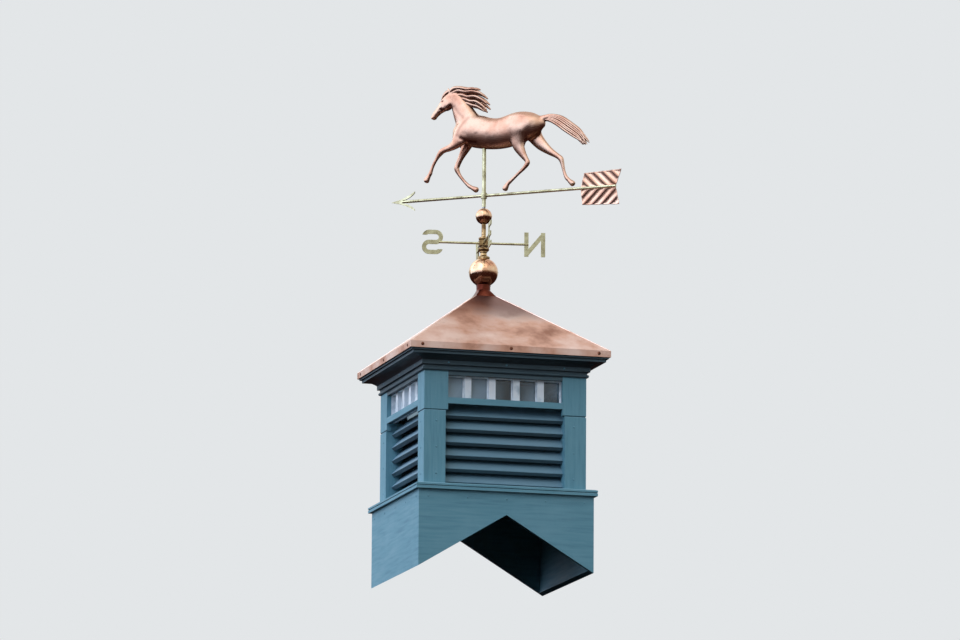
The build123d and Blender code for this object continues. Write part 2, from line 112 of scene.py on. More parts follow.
class Run(Enum):
    """The way in which a pattern is drawn out: how many times narrower it is along each axis."""

    LEVEL = (1.0, 1.0, 14.0)
    UPRIGHT = (14.0, 14.0, 1.0)
    TURNED = (1.0, 1.0, 5.0)
    DRAWN = (4.0, 4.0, 1.0)
    EVEN = (1.0, 1.0, 1.0)


def linear(code: str) -> tuple[float, float, float, float]:
    """Turns an sRGB hex colour to linear values.

    Args:
        code: The colour as "#rrggbb".

    Returns:
        Linear red, green and blue, and an alpha of 1.
    """
    parts = [int(code[i:i + 2], 16) / 255 for i in (1, 3, 5)]
    red, green, blue = [c / 12.92 if c <= 0.04045 else ((c + 0.055) / 1.055) ** 2.4 for c in parts]
    return red, green, blue, 1.0


def add_node(
    tree: Tree,
    kind: str,
    settings: dict[str, object] | None = None,
    inputs: dict[object, object] | None = None,
) -> Node:
    """Adds one node with its settings and its links.

    Args:
        tree: The node tree that it goes into.
        kind: The node's type name.
        settings: Attributes of the node. "stops" are places and hex colours along a colour ramp.
        inputs: Values, sockets or nodes for its inputs, by name or number. A node stands for its
            first output.

    Returns:
        The new node.
    """
    node = tree.nodes.new(kind)
    for key, value in (settings or {}).items():
        if key != "stops":
            setattr(node, key, value)
            continue
        elements = node.color_ramp.elements
        while len(elements) < len(value):
            elements.new(0.5)
        for element, (place_at, code) in zip(elements, value):
            element.position = place_at
            element.color = linear(code)
    for key, value in (inputs or {}).items():
        source = value.outputs[0] if isinstance(value, Node) else value
        if isinstance(source, Socket):
            tree.links.new(source, node.inputs[key])
        else:
            node.inputs[key].default_value = source
    return node


@dataclass(frozen=True)
class Finish:
    """A finish: what a surface is made of and how it was worked."""

    name: str

    def build(self) -> bpy.types.Material:
        """Makes the material, or gives the one that was made before.

        Returns:
            The finished material.
        """
        found = bpy.data.materials.get(self.name)
        if found:
            return found
        made = bpy.data.materials.new(self.name)
        made.use_nodes = True
        tree = made.node_tree
        tree.nodes.clear()
        shader = add_node(tree, "ShaderNodeBsdfPrincipled", {}, self.dress(tree))
        add_node(tree, "ShaderNodeOutputMaterial", {}, {"Surface": shader})
        return made

    def dress(self, tree: Tree) -> dict[str, object]:
        """Makes the finish's patterns.

        Args:
            tree: The material's node tree.

        Returns:
            What goes into the principled shader.
        """
        return {}

    @staticmethod
    def upward(tree: Tree) -> Socket:
        """Says how far a face looks up: 1 for a floor, 0 for a wall and -1 for a ceiling."""
        facing = add_node(tree, "ShaderNodeNewGeometry").outputs["Normal"]
        return add_node(tree, "ShaderNodeSeparateXYZ", {}, {0: facing}).outputs["Z"]

    @staticmethod
    def mottle(
        tree: Tree, size: float, run: Run = Run.EVEN, detail: float = 4.0, shift: float = 0.0
    ) -> Node:
        """Mottles a piece over its own coordinates.

        Args:
            tree: The material's node tree.
            size: The length of one mottle along its run, in millimetres.
            run: The way in which it is drawn out.
            detail: Octaves of finer mottling.
            shift: An offset, so that two mottles differ.

        Returns:
            The node that gives the mottling's value.
        """
        spot = add_node(tree, "ShaderNodeTexCoord").outputs["Object"]
        laid = add_node(tree, "ShaderNodeMapping", {}, {
            "Vector": spot, "Location": (shift, shift, shift), "Scale": run.value,
        })
        return add_node(tree, "ShaderNodeTexNoise", {}, {
            "Vector": laid, "Scale": 1 / (size * MM), "Detail": detail, "Roughness": 0.55,
        })

    @staticmethod
    def stain(
        tree: Tree,
        amount: Node | Socket,
        span: tuple[float, float],
        most: float,
        under: object,
        colour: str,
    ) -> Socket:
        """Lays one colour over another where an amount is high.

        Args:
            tree: The material's node tree.
            amount: What says where the stain lies.
            span: Where in the amount the stain starts and where it is full.
            most: How much of it shows where it is full.
            under: The colour that it lies on.
            colour: The stain's own hex colour.

        Returns:
            The stained colour.
        """
        share = add_node(tree, "ShaderNodeMapRange", {"interpolation_type": "SMOOTHSTEP"}, {
            "Value": amount, "From Min": span[0], "From Max": span[1],
            "To Min": 0.0, "To Max": most,
        })
        return add_node(tree, "ShaderNodeMix", {"data_type": "RGBA"}, {
            SHARE: share, UNDER: under, OVER: linear(colour),
        }).outputs[MIXED]


@dataclass(frozen=True)
class PaintedPine(Finish):
    """Exterior paint brushed on planed pine: soft strokes, dusty above, and painted shade below.
    """

    run: Run = Run.LEVEL
    paint: str = "#5e93a1"
    faded: str = "#7ba8b4"
    soiled: str = "#43697a"
    dust: str = "#8facb6"
    mildew: str = "#252c2e"
    stroke: float = 160.0
    cloud: float = 220.0
    speck: float = 9.0
    streaked: float = 0.32

    def dress(self, tree: Tree) -> dict[str, object]:
        """Makes strokes, fading, specks, dust on upper faces and painted shade on lower ones."""
        # A brush's strokes are about a millimetre wide, and are drawn at 11 mm to show.
        strokes = self.mottle(tree, self.stroke, self.run, 5.0)
        clouds = self.mottle(tree, self.cloud, detail=6.0, shift=3.1)
        specks = self.mottle(tree, self.speck, detail=2.0, shift=7.7)
        tone = add_node(tree, "ShaderNodeValToRGB", {
            "stops": ((0.28, self.soiled), (0.47, self.paint), (0.76, self.faded)),
        }, {"Fac": strokes})
        body = add_node(tree, "ShaderNodeMix", {"data_type": "RGBA"}, {
            SHARE: self.streaked, UNDER: linear(self.paint), OVER: tone,
        }).outputs[MIXED]
        cloudy = self.stain(tree, clouds, (0.45, 0.75), 0.35, body, self.faded)
        upward = self.upward(tree)
        dusty = self.stain(tree, upward, (0.25, 0.95), 0.30, cloudy, self.dust)
        spotted = self.stain(tree, specks, (0.70, 0.80), 0.4, dusty, self.soiled)
        return {
            # Painted shade darkens the faces that look down.
            "Base Color": self.stain(tree, upward, (-0.2, -0.95), 0.82, spotted, self.mildew),
            "Roughness": add_node(tree, "ShaderNodeMapRange", {}, {
                "Value": strokes, "From Min": 0.3, "From Max": 0.7, "To Min": 0.60, "To Max": 0.46,
            }),
            "Normal": add_node(tree, "ShaderNodeBump", {}, {
                "Height": strokes, "Distance": 0.0006, "Strength": 0.3,
            }),
        }


@dataclass(frozen=True)
class SashPaint(Finish):
    """White enamel brushed on narrow sash bars: smooth, a little grey where dust has caught."""

    white: str = "#e9f1f4"
    grey: str = "#b3c3ca"
    gloss: str = "#f3f7f8"
    stroke: float = 80.0
    cloud: float = 60.0

    def dress(self, tree: Tree) -> dict[str, object]:
        """Makes faint strokes and soiling."""
        # A brush's strokes are about a millimetre wide, and are drawn at 6 mm to show.
        strokes = self.mottle(tree, self.stroke, Run.UPRIGHT, 4.0)
        clouds = self.mottle(tree, self.cloud, detail=5.0, shift=1.7)
        tone = add_node(tree, "ShaderNodeValToRGB", {
            "stops": ((0.32, self.grey), (0.50, self.white), (0.80, self.gloss)),
        }, {"Fac": clouds})
        return {
            "Base Color": tone,
            "Roughness": add_node(tree, "ShaderNodeMapRange", {}, {
                "Value": strokes, "From Min": 0.3, "From Max": 0.7, "To Min": 0.34, "To Max": 0.46,
            }),
            "Normal": add_node(tree, "ShaderNodeBump", {}, {
                "Height": strokes, "Distance": 0.0004, "Strength": 0.3,
            }),
        }


@dataclass(frozen=True)
class SawnPine(Finish):
    """Bare sawn pine: straw coloured, with darker rings drawn along the board."""

    ring: float = 170.0
    dark: str = "#8a6a45"
    mid: str = "#b99466"
    pale: str = "#d2b184"

    def dress(self, tree: Tree) -> dict[str, object]:
        """Makes rings and a matt surface."""
        # The rings are 3 to 5 mm apart, and are drawn at 12 mm to show.
        rings = self.mottle(tree, self.ring, Run.LEVEL, 6.0)
        tone = add_node(tree, "ShaderNodeValToRGB", {
            "stops": ((0.3, self.dark), (0.5, self.mid), (0.75, self.pale)),
        }, {"Fac": rings})
        return {
            "Base Color": tone,
            "Roughness": 0.8,
            "Normal": add_node(tree, "ShaderNodeBump", {}, {
                "Height": rings, "Distance": 0.001, "Strength": 0.4,
            }),
        }


@dataclass(frozen=True)
class Copper(Finish):
    """Copper worked bright and weathered a season: pink metal that clouds to tan and brown.

    One span of heights, in metres, is where the sheet darkens to brown towards the top, and
    "ragged" is how far the clouds shift it. "lie" shifts the clouds. A share sets how much
    painted shade darkens the faces that look down.
    """

    fresh: str = "#ecd0c4"
    tan: str = "#dbac98"
    brown: str = "#a9755f"
    shade: str = "#5a261c"
    cloud: float = 150.0
    spot: float = 46.0
    wave: float = 120.0
    wave_depth: float = 1.2
    smooth: float = 0.28
    dull: float = 0.46
    runoff: tuple[float, float] = (5.0, 6.0)
    ragged: float = 0.16
    lie: float = 0.0
    unwashed: float = 0.5

    def dress(self, tree: Tree) -> dict[str, object]:
        """Makes clouds, spots, dark hollows, painted shade below, darkening at the top and soft
        waves.
        """
        clouds = self.mottle(tree, self.cloud, detail=7.0, shift=self.lie)
        spots = self.mottle(tree, self.spot, detail=5.0, shift=5.3)
        waves = self.mottle(tree, self.wave, detail=1.0, shift=2.2)
        tone = add_node(tree, "ShaderNodeValToRGB", {
            "stops": ((0.30, self.brown), (0.43, self.tan), (0.60, self.fresh)),
        }, {"Fac": clouds})
        spotted = self.stain(tree, spots, (0.56, 0.78), 0.34, tone, self.brown)
        # This mark darkens pressed hollows, and paints shade on the lower side of tubes.
        hollow = add_node(tree, "ShaderNodeAttribute", {"attribute_name": HOLLOW_AND_SHADE}).outputs["Fac"]
        sunk_and_shaded = self.stain(tree, hollow, (0.15, 0.95), 0.85, spotted, self.shade)
        # Painted shade darkens the faces that look down.
        under = self.stain(tree, self.upward(tree), (0.05, -0.75), self.unwashed, sunk_and_shaded, self.shade)
        spot = add_node(tree, "ShaderNodeTexCoord").outputs["Object"]
        height = add_node(tree, "ShaderNodeSeparateXYZ", {}, {0: spot}).outputs["Z"]
        shifted = add_node(tree, "ShaderNodeMath", {"operation": "MULTIPLY_ADD"}, {
            0: clouds, 1: self.ragged, 2: height,
        })
        return {
            "Base Color": self.stain(tree, shifted, self.runoff, 0.8, under, self.shade),
            "Metallic": 1.0,
            "Roughness": add_node(tree, "ShaderNodeMapRange", {}, {
                "Value": clouds, "From Min": 0.3, "From Max": 0.65,
                "To Min": self.dull, "To Max": self.smooth,
            }),
            "Normal": add_node(tree, "ShaderNodeBump", {}, {
                "Height": waves, "Distance": self.wave_depth * MM,
            }),
        }


@dataclass(frozen=True)
class Brass(Finish):
    """Turned or sawn brass left bare: pale straw with a greenish cast where it has dulled."""

    bright: str = "#d0cea8"
    dull: str = "#b0ab86"
    brown: str = "#8c8564"
    cloud: float = 34.0
    smooth: float = 0.30
    matt: float = 0.50
    mark: float = 12.0

    def dress(self, tree: Tree) -> dict[str, object]:
        """Makes dulling, brown patches and turning marks."""
        # Turning marks are a fifth of a millimetre apart, and are drawn at 2.4 mm to show.
        clouds = self.mottle(tree, self.cloud, detail=6.0)
        marks = self.mottle(tree, self.mark, Run.TURNED, 2.0, 4.0)
        tone = add_node(tree, "ShaderNodeValToRGB", {
            "stops": ((0.30, self.brown), (0.42, self.dull), (0.60, self.bright)),
        }, {"Fac": clouds})
        return {
            "Base Color": tone,
            "Metallic": 1.0,
            "Roughness": add_node(tree, "ShaderNodeMapRange", {}, {
                "Value": clouds, "From Min": 0.3, "From Max": 0.7,
                "To Min": self.matt, "To Max": self.smooth,
            }),
            "Normal": add_node(tree, "ShaderNodeBump", {}, {
                "Height": marks, "Distance": 0.0003, "Strength": 0.5,
            }),
        }


@dataclass(frozen=True)
class DrawnSteel(Finish):
    """Drawn steel rod: grey, streaked along its length, with a little brown rust."""

    rust: str = "#6b6058"
    grey: str = "#a3a5a6"
    streak: float = 120.0

    def dress(self, tree: Tree) -> dict[str, object]:
        """Makes streaks from grey to brown."""
        streaks = self.mottle(tree, self.streak, Run.DRAWN, 5.0)
        tone = add_node(tree, "ShaderNodeValToRGB", {
            "stops": ((0.35, self.rust), (0.60, self.grey)),
        }, {"Fac": streaks})
        return {
            "Base Color": tone,
            "Metallic": 1.0,
            "Roughness": add_node(tree, "ShaderNodeMapRange", {}, {
                "Value": streaks, "From Min": 0.3, "From Max": 0.7, "To Min": 0.50, "To Max": 0.32,
            }),
        }


@dataclass(frozen=True)
class BlackenedCopper(Finish):
    """Copper screw turned brown-black by weather, with paler rubbed patches."""

    dark: str = "#3a221b"
    rubbed: str = "#94604b"
    cloud: float = 5.0

    def dress(self, tree: Tree) -> dict[str, object]:
        """Makes patches from brown-black to rubbed copper."""
        clouds = self.mottle(tree, self.cloud, detail=3.0)
        tone = add_node(tree, "ShaderNodeValToRGB", {
            "stops": ((0.35, self.dark), (0.68, self.rubbed)),
        }, {"Fac": clouds})
        return {"Base Color": tone, "Metallic": 1.0, "Roughness": 0.45}


@dataclass(frozen=True)
class DrawnGlass(Finish):
    """Drawn window glass, dusty and faintly blue, with a slight ripple from the drawing."""

    tint: str = "#a8c2d0"
    ripple: float = 90.0
    smear: float = 34.0
    film: float = 420.0

    def dress(self, tree: Tree) -> dict[str, object]:
        """Makes the ripple, the smears and a film of dust on clear glass."""
        ripples = self.mottle(tree, self.ripple, Run.DRAWN, 1.0)
        smears = self.mottle(tree, self.smear, detail=5.0, shift=9.0)
        films = self.mottle(tree, self.film, detail=2.0, shift=7.4)
        return {
            "Base Color": linear(self.tint),
            "Transmission Weight": add_node(tree, "ShaderNodeMapRange", {}, {
                "Value": films, "From Min": 0.42, "From Max": 0.58, "To Min": 1.0, "To Max": 0.40,
            }),
            "IOR": 1.5,
            "Roughness": add_node(tree, "ShaderNodeMapRange", {}, {
                "Value": smears, "From Min": 0.45, "From Max": 0.8, "To Min": 0.01, "To Max": 0.16,
            }),
            "Normal": add_node(tree, "ShaderNodeBump", {}, {
                "Height": ripples, "Distance": 0.0008, "Strength": 0.4,
            }),
        }


# Brushed paint gives a soft satin blue with strokes that run along each board.
LEVEL_PAINT = PaintedPine("brushed_paint_on_level_pine", Run.LEVEL)
UPRIGHT_PAINT = PaintedPine("brushed_paint_on_upright_pine", Run.UPRIGHT)
# The slats get a darker, greyer copy of the paint: painted shade for their recess.
SHADED_SLAT_PAINT = PaintedPine(
    "dusty_paint_on_slats", paint="#5b8291", faded="#7897a4", soiled="#3f5b6b",
    dust="#7f99a6", mildew="#20282b",
)
# A near-black copy of the paint is painted shade for the parts under the eave.
SHADED_EAVE_PAINT = PaintedPine(
    "grimy_paint_under_eave", paint="#3c545c", faded="#4d6870", soiled="#263439",
    dust="#647c84", mildew="#171c1e",
)
# Enamel gives the thin bars a clean, slightly glossy white against the dark panes.
WHITE_PAINT = SashPaint("brushed_enamel_on_sash")
# Sawn pine gives the unseen deck a matt straw colour.
DECK_PINE = SawnPine("sawn_pine_deck")
# Rolled sheet gives broad pale reflections that swim a little, and darkens to brown towards the
# neck.
ROOF_COPPER = Copper(
    "rolled_copper_sheet", "#e6cbbf", "#d0a48f", "#9c6d57", cloud=190.0,
    smooth=0.38, dull=0.48, runoff=(1.14, 1.26), lie=2.9,
)
# Folded hips get a paler copper: a painted highlight that draws a pale line down each hip.
HIP_HIGHLIGHT_COPPER = Copper(
    "rubbed_copper_fold", "#f6e0d4", "#eecdbc", "#d0a18c", cloud=80.0, spot=30.0,
    wave=30.0, wave_depth=0.2, smooth=0.30, dull=0.42,
)
# Spinning gives a tight, glossy skin with a sharp change from bright above to red below;
# painted shade darkens the faces that look down.
SPUN_COPPER = Copper(
    "spun_copper", "#e2c6a2", "#cf9a78", "#8a4836", cloud=62.0, spot=20.0,
    wave=34.0, wave_depth=0.3, smooth=0.12, dull=0.26,
)
# The neck is a dark red brown all over.
DARK_NECK_COPPER = Copper(
    "heat_browned_copper", "#6c3628", "#53251a", "#33140d", cloud=60.0, spot=22.0,
    wave=40.0, wave_depth=0.4, smooth=0.22, dull=0.40,
)
# Stamping gives a thin satin skin: pale pink where light falls, dark red in the pressed hollows,
# with a little painted shade on faces that look down.
STAMPED_COPPER = Copper(
    "stamped_copper", "#c9a891", "#be937b", "#9b6d57", cloud=90.0, spot=30.0,
    wave=18.0, wave_depth=0.3, smooth=0.30, dull=0.42, unwashed=0.3,
)
# Rolled flutes stay paler on their crests than the horse, and red-brown in their grooves.
FLUTED_COPPER = Copper(
    "fluted_copper", "#e6c5ae", "#d8ae94", "#a4745c", cloud=90.0, spot=30.0,
    wave=18.0, wave_depth=0.3, smooth=0.36, dull=0.48,
)
# Bare brass gives rods and letters a dull straw colour, browner where it is turned.
BARE_BRASS = Brass("sawn_brass")
TURNED_BRASS = Brass(
    "turned_brass", "#b99d70", "#7d6240", "#41301f", cloud=26.0, smooth=0.24, matt=0.42,
)
# A drawn rod gives a thin grey line with long highlights.
ROD_STEEL = DrawnSteel("drawn_steel_rod")
# Blackened screws give small dark dots with paler patches.
SCREW_METAL = BlackenedCopper("blackened_copper_screw")
# Drawn glass gives dark, slightly uneven panes.
GLASS = DrawnGlass("drawn_window_glass")


def dress_nodes(finish: Finish, *names: str) -> None:
    """Gives CAD nodes their finish.

    Args:
        finish: The finish.
        names: The nodes' names.
    """
    for name in names:
        coat(frame["nodes"][name], finish)
        LOG.info("dressed %s in %s", name, finish.name)


def coat(piece: Piece, finish: Finish) -> None:
    """Makes one finish the only material of a piece."""
    piece.data.materials.clear()
    piece.data.materials.append(finish.build())


def place(piece: Piece, body: str, slot: str, *stands_for: str) -> None:
    """Rides a finished piece on its body and hides what it stands for.

    Args:
        piece: The piece, with its place in its mesh.
        body: The CAD body that it moves with.
        slot: The record's material slot. It is not used.
        stands_for: CAD nodes that it replaces.
    """
    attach(piece, body)
    if stands_for:
        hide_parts(*stands_for)
    LOG.info("placed %s on %s: %d faces", piece.name, body, len(piece.data.polygons))


def stand(name: str, data: bpy.types.ID) -> Piece:
    """Stands new data in the scene as an object at the origin.

    Args:
        name: The object's name.
        data: Its mesh, curve, light or camera.

    Returns:
        The new object.
    """
    piece = bpy.data.objects.new(name, data)
    bpy.context.scene.collection.objects.link(piece)
    return piece


def modify(piece: Piece, kind: str, **settings: object) -> None:
    """Adds a modifier to a piece.

    Args:
        piece: The piece.
        kind: The modifier's type name.
        settings: Its settings by name.
    """
    modifier = piece.modifiers.new(kind.lower(), kind)
    for key, value in settings.items():
        setattr(modifier, key, value)


def mesh_object(
    name: str,
    verts: Iterable[Sequence[float]],
    faces: Iterable[Sequence[int]],
    finish: Finish,
    smooth: bool = True,
) -> Piece:
    """Makes an object from points and faces, merged, with its faces outward.

    Args:
        name: The piece's name.
        verts: Its points in metres.
        faces: Its faces as point numbers.
        finish: Its finish.
        smooth: Whether its faces are shaded smooth.

    Returns:
        The new object.
    """
    mesh = bpy.data.meshes.new(name)
    mesh.from_pydata([tuple(v) for v in verts], [], [tuple(f) for f in faces])
    work = bmesh.new()
    work.from_mesh(mesh)
    bmesh.ops.remove_doubles(work, verts=work.verts, dist=WELD)
    bmesh.ops.recalc_face_normals(work, faces=work.faces)
    work.to_mesh(mesh)
    work.free()
    mesh.polygons.foreach_set("use_smooth", [smooth] * len(mesh.polygons))
    mesh.materials.append(finish.build())
    return stand(name, mesh)


def baked(host: Piece, name: str) -> Piece:
    """Turns an object with live modifiers into a plain mesh piece.

    Args:
        host: The object with its modifiers.
        name: The new piece's name.

    Returns:
        The plain piece. The host is removed.
    """
    bpy.context.view_layer.update()
    seen = host.evaluated_get(bpy.context.evaluated_depsgraph_get())
    mesh = bpy.data.meshes.new_from_object(seen)
    mesh.name = name
    bpy.data.objects.remove(host)
    return stand(name, mesh)


class Grower:
    """A Geometry Nodes tree with named inputs, which ends in realized, painted geometry."""

    def __init__(self, name: str, **sizes: str) -> None:
        """Starts a tree.

        Args:
            name: The tree's name.
            sizes: The kind of socket of each named input.
        """
        self.tree = bpy.data.node_groups.new(name, "GeometryNodeTree")
        face = self.tree.interface
        for label, kind in {"Geometry": "Geometry", "Material": "Material", **sizes}.items():
            face.new_socket(label, in_out="INPUT", socket_type="NodeSocket" + kind)
        face.new_socket("Geometry", in_out="OUTPUT", socket_type="NodeSocketGeometry")
        self.given = self.tree.nodes.new("NodeGroupInput")

    def __getitem__(self, label: str) -> Socket:
        """The named input."""
        return self.given.outputs[label]

    def finish(self, geometry: Node) -> None:
        """Ends the tree with Realize Instances and Set Material.

        Args:
            geometry: The node that gives the last geometry.
        """
        real = add_node(self.tree, "GeometryNodeRealizeInstances", {}, {0: geometry})
        painted = add_node(self.tree, "GeometryNodeSetMaterial", {}, {
            "Geometry": real, "Material": self["Material"],
        })
        add_node(self.tree, "NodeGroupOutput", {}, {0: painted})

    def grow(
        self, name: str, finish: Finish, host: Piece | None = None, **values: object
    ) -> Piece:
        """Runs the tree and keeps its result as a plain mesh.

        Args:
            name: The new piece's name.
            finish: Its finish.
            host: The object that carries the tree, or none for an empty mesh.
            values: The other inputs by name.

        Returns:
            The new piece.
        """
        if host is None:
            host = stand(name + "_host", bpy.data.meshes.new(name + "_host"))
        modifier = host.modifiers.new("grow", "NODES")
        modifier.node_group = self.tree
        values["Material"] = finish.build()
        for item in self.tree.interface.items_tree:
            if item.in_out == "INPUT" and item.name in values:
                modifier[item.identifier] = values[item.name]
        return baked(host, name)


class FastenerRows(Grower):
    """A row of one fastener on every side of the cupola."""

    def __init__(self) -> None:
        """Builds the tree: a row of points, the fastener on each, and the row on each side."""
        super().__init__(
            "fastener_rows", Fastener="Object", Start="Vector", End="Vector", Count="Int",
            Wobble="Float",
        )
        tree = self.tree
        line = add_node(tree, "GeometryNodeMeshLine", {"mode": "END_POINTS"}, {
            "Count": self["Count"], "Start Location": self["Start"], "Offset": self["End"],
        })
        low, high = (
            add_node(tree, "ShaderNodeVectorMath", {"operation": "SCALE"}, {
                0: (way, way, way), "Scale": self["Wobble"],
            })
            for way in (-1.0, 1.0)
        )
        aim = add_node(tree, "FunctionNodeRandomValue", {"data_type": "FLOAT_VECTOR"}, {
            0: low, 1: high, "Seed": SEED,
        })
        shape = add_node(tree, "GeometryNodeObjectInfo", {"transform_space": "ORIGINAL"}, {
            "Object": self["Fastener"],
        }).outputs["Geometry"]
        row = add_node(tree, "GeometryNodeInstanceOnPoints", {}, {
            "Points": line, "Instance": shape, "Rotation": aim,
        })
        spots = add_node(tree, "GeometryNodeMeshLine", {"mode": "OFFSET"}, {
            "Count": len(Side), "Offset": (0.0, 0.0, 0.0),
        })
        number = add_node(tree, "GeometryNodeInputIndex")
        angle = add_node(tree, "ShaderNodeMath", {"operation": "MULTIPLY"}, {
            0: number, 1: Side.RIGHT.angle,
        })
        turned = add_node(tree, "ShaderNodeCombineXYZ", {}, {"Z": angle})
        self.finish(add_node(tree, "GeometryNodeInstanceOnPoints", {}, {
            "Points": spots, "Instance": row, "Rotation": turned,
        }))


class SweptRim(Grower):
    """A round bead that follows a path, such as a rolled hem or a seam."""

    def __init__(self) -> None:
        """Builds the tree: the path of the host curve, swept by a small round."""
        super().__init__("swept_rim", Radius="Float", Sides="Int")
        ring = add_node(self.tree, "GeometryNodeCurvePrimitiveCircle", {"mode": "RADIUS"}, {
            "Resolution": self["Sides"], "Radius": self["Radius"],
        })
        swept = add_node(self.tree, "GeometryNodeCurveToMesh", {}, {
            "Curve": self["Geometry"], "Profile Curve": ring, "Fill Caps": True,
        })
        self.finish(add_node(self.tree, "GeometryNodeSetShadeSmooth", {}, {0: swept}))


class SlatStack(Grower):
    """Slats stacked at an even pitch on one side of the cupola."""

    def __init__(self) -> None:
        """Builds the tree: a stack of points, a slat on each, and the stack's turn."""
        super().__init__(
            "slat_stack", Slat="Object", Lowest="Vector", Count="Int", Pitch="Float",
            Turn="Float",
        )
        tree = self.tree
        rise = add_node(tree, "ShaderNodeCombineXYZ", {}, {"Z": self["Pitch"]})
        stack = add_node(tree, "GeometryNodeMeshLine", {"mode": "OFFSET"}, {
            "Count": self["Count"], "Start Location": self["Lowest"], "Offset": rise,
        })
        slat = add_node(tree, "GeometryNodeObjectInfo", {"transform_space": "ORIGINAL"}, {
            "Object": self["Slat"],
        }).outputs["Geometry"]
        laid = add_node(tree, "GeometryNodeInstanceOnPoints", {}, {
            "Points": stack, "Instance": slat,
        })
        about = add_node(tree, "ShaderNodeCombineXYZ", {}, {"Z": self["Turn"]})
        self.finish(add_node(tree, "GeometryNodeTransform", {}, {0: laid, "Rotation": about}))


def path_curve(name: str, paths: Iterable[Sequence[Point]], closed: bool) -> Piece:
    """Makes a curve object of straight runs.

    Args:
        name: The object's name.
        paths: The points of each run, in metres.
        closed: Whether each run closes on itself.

    Returns:
        The curve object.
    """
    data = bpy.data.curves.new(name, "CURVE")
    data.dimensions = "3D"
    for points in paths:
        spline = data.splines.new("POLY")
        spline.points.add(len(points) - 1)
        for spot, place_at in zip(spline.points, points):
            spot.co = (*place_at, 1.0)
        spline.use_cyclic_u = closed
    return stand(name, data)


def turned_pattern(
    name: str, profile: Sequence[tuple[float, float]], finish: Finish, steps: int = 12
) -> Piece:
    """Turns a fastener's open profile about the Y axis, so that it points along -Y.

    Args:
        name: The pattern's name.
        profile: Radius and place along Y of each point, from the axis to the axis.
        finish: Its finish.
        steps: Facets round the turn.

    Returns:
        The pattern.
    """
    verts, faces = [], []
    n = len(profile)
    for k in range(steps):
        angle = 2 * math.pi * k / steps
        verts += [(r * math.cos(angle), y, r * math.sin(angle)) for r, y in profile]
        here, there = k * n, (k + 1) % steps * n
        faces += [(here + i, here + i + 1, there + i + 1, there + i) for i in range(n - 1)]
    return mesh_object(name, verts, faces, finish)


@dataclass
class Timberwork:
    """Base, sill, posts, rails, crown, soffit and deck, with the nails that hold them."""

    body_half: float = 0.354
    base_half: float = 0.381
    crown_nose: float = 0.368
    z_fascia: float = 0.865
    z_sill: float = 0.3249
    z_louvre: float = 0.3519
    z_window: float = 0.6649
    nail_radius: float = 0.0042
    proud: float = 0.0001
    crown_reach: float = 0.253
    post_reach: float = 0.300
    base_reach: float = 0.340
    post_margin: float = 0.045
    base_margin: float = 0.030

    def build(self) -> None:
        """Dresses the timber nodes and drives the nails."""
        dress_nodes(LEVEL_PAINT, "window_rails")
        dress_nodes(UPRIGHT_PAINT, "louvre_posts", "window_posts")
        dress_nodes(SHADED_EAVE_PAINT, "head_rails", "soffit")
        for side in Side:
            dress_nodes(LEVEL_PAINT, f"base_{side.word}", f"sill_{side.word}")
            dress_nodes(SHADED_EAVE_PAINT, f"crown_{side.word}")
        dress_nodes(DECK_PINE, "roof_deck")
        self.nails()

    def nail_pattern(self) -> Piece:
        """Makes one painted nail head, its axis along -Y.

        Returns:
            The pattern, which stands in no body.
        """
        r = self.nail_radius
        profile = [
            (0.0, 0.0), (r, 0.0), (r, -0.0006),
            (r * 0.86, -0.0013), (r * 0.45, -0.0017), (0.0, -0.0017),
        ]
        return turned_pattern("nail_pattern", profile, LEVEL_PAINT)

    def nails(self) -> None:
        """Drives nails through the crown's fascia, the posts and the base boards."""
        pattern = self.nail_pattern()
        crown, face, base = (
            -half - self.proud for half in (self.crown_nose, self.body_half, self.base_half)
        )
        low, high = self.z_louvre + self.post_margin, self.z_window - self.post_margin
        edge = self.z_sill - self.base_margin
        rows = {
            "crown_nails": ((-self.crown_reach, crown, self.z_fascia),
                            (self.crown_reach, crown, self.z_fascia), 3),
            "post_nails_left": ((-self.post_reach, face, low), (-self.post_reach, face, high), 3),
            "post_nails_right": ((self.post_reach, face, low), (self.post_reach, face, high), 3),
            "base_nails": ((-self.base_reach, base, edge), (self.base_reach, base, edge), 5),
        }
        for name, (start, end, count) in rows.items():
            row = FASTENERS.grow(
                name, LEVEL_PAINT, Fastener=pattern, Start=start, End=end, Count=count,
            )
            place(row, "cupola", "painted_wood")
        bpy.data.objects.remove(pattern)


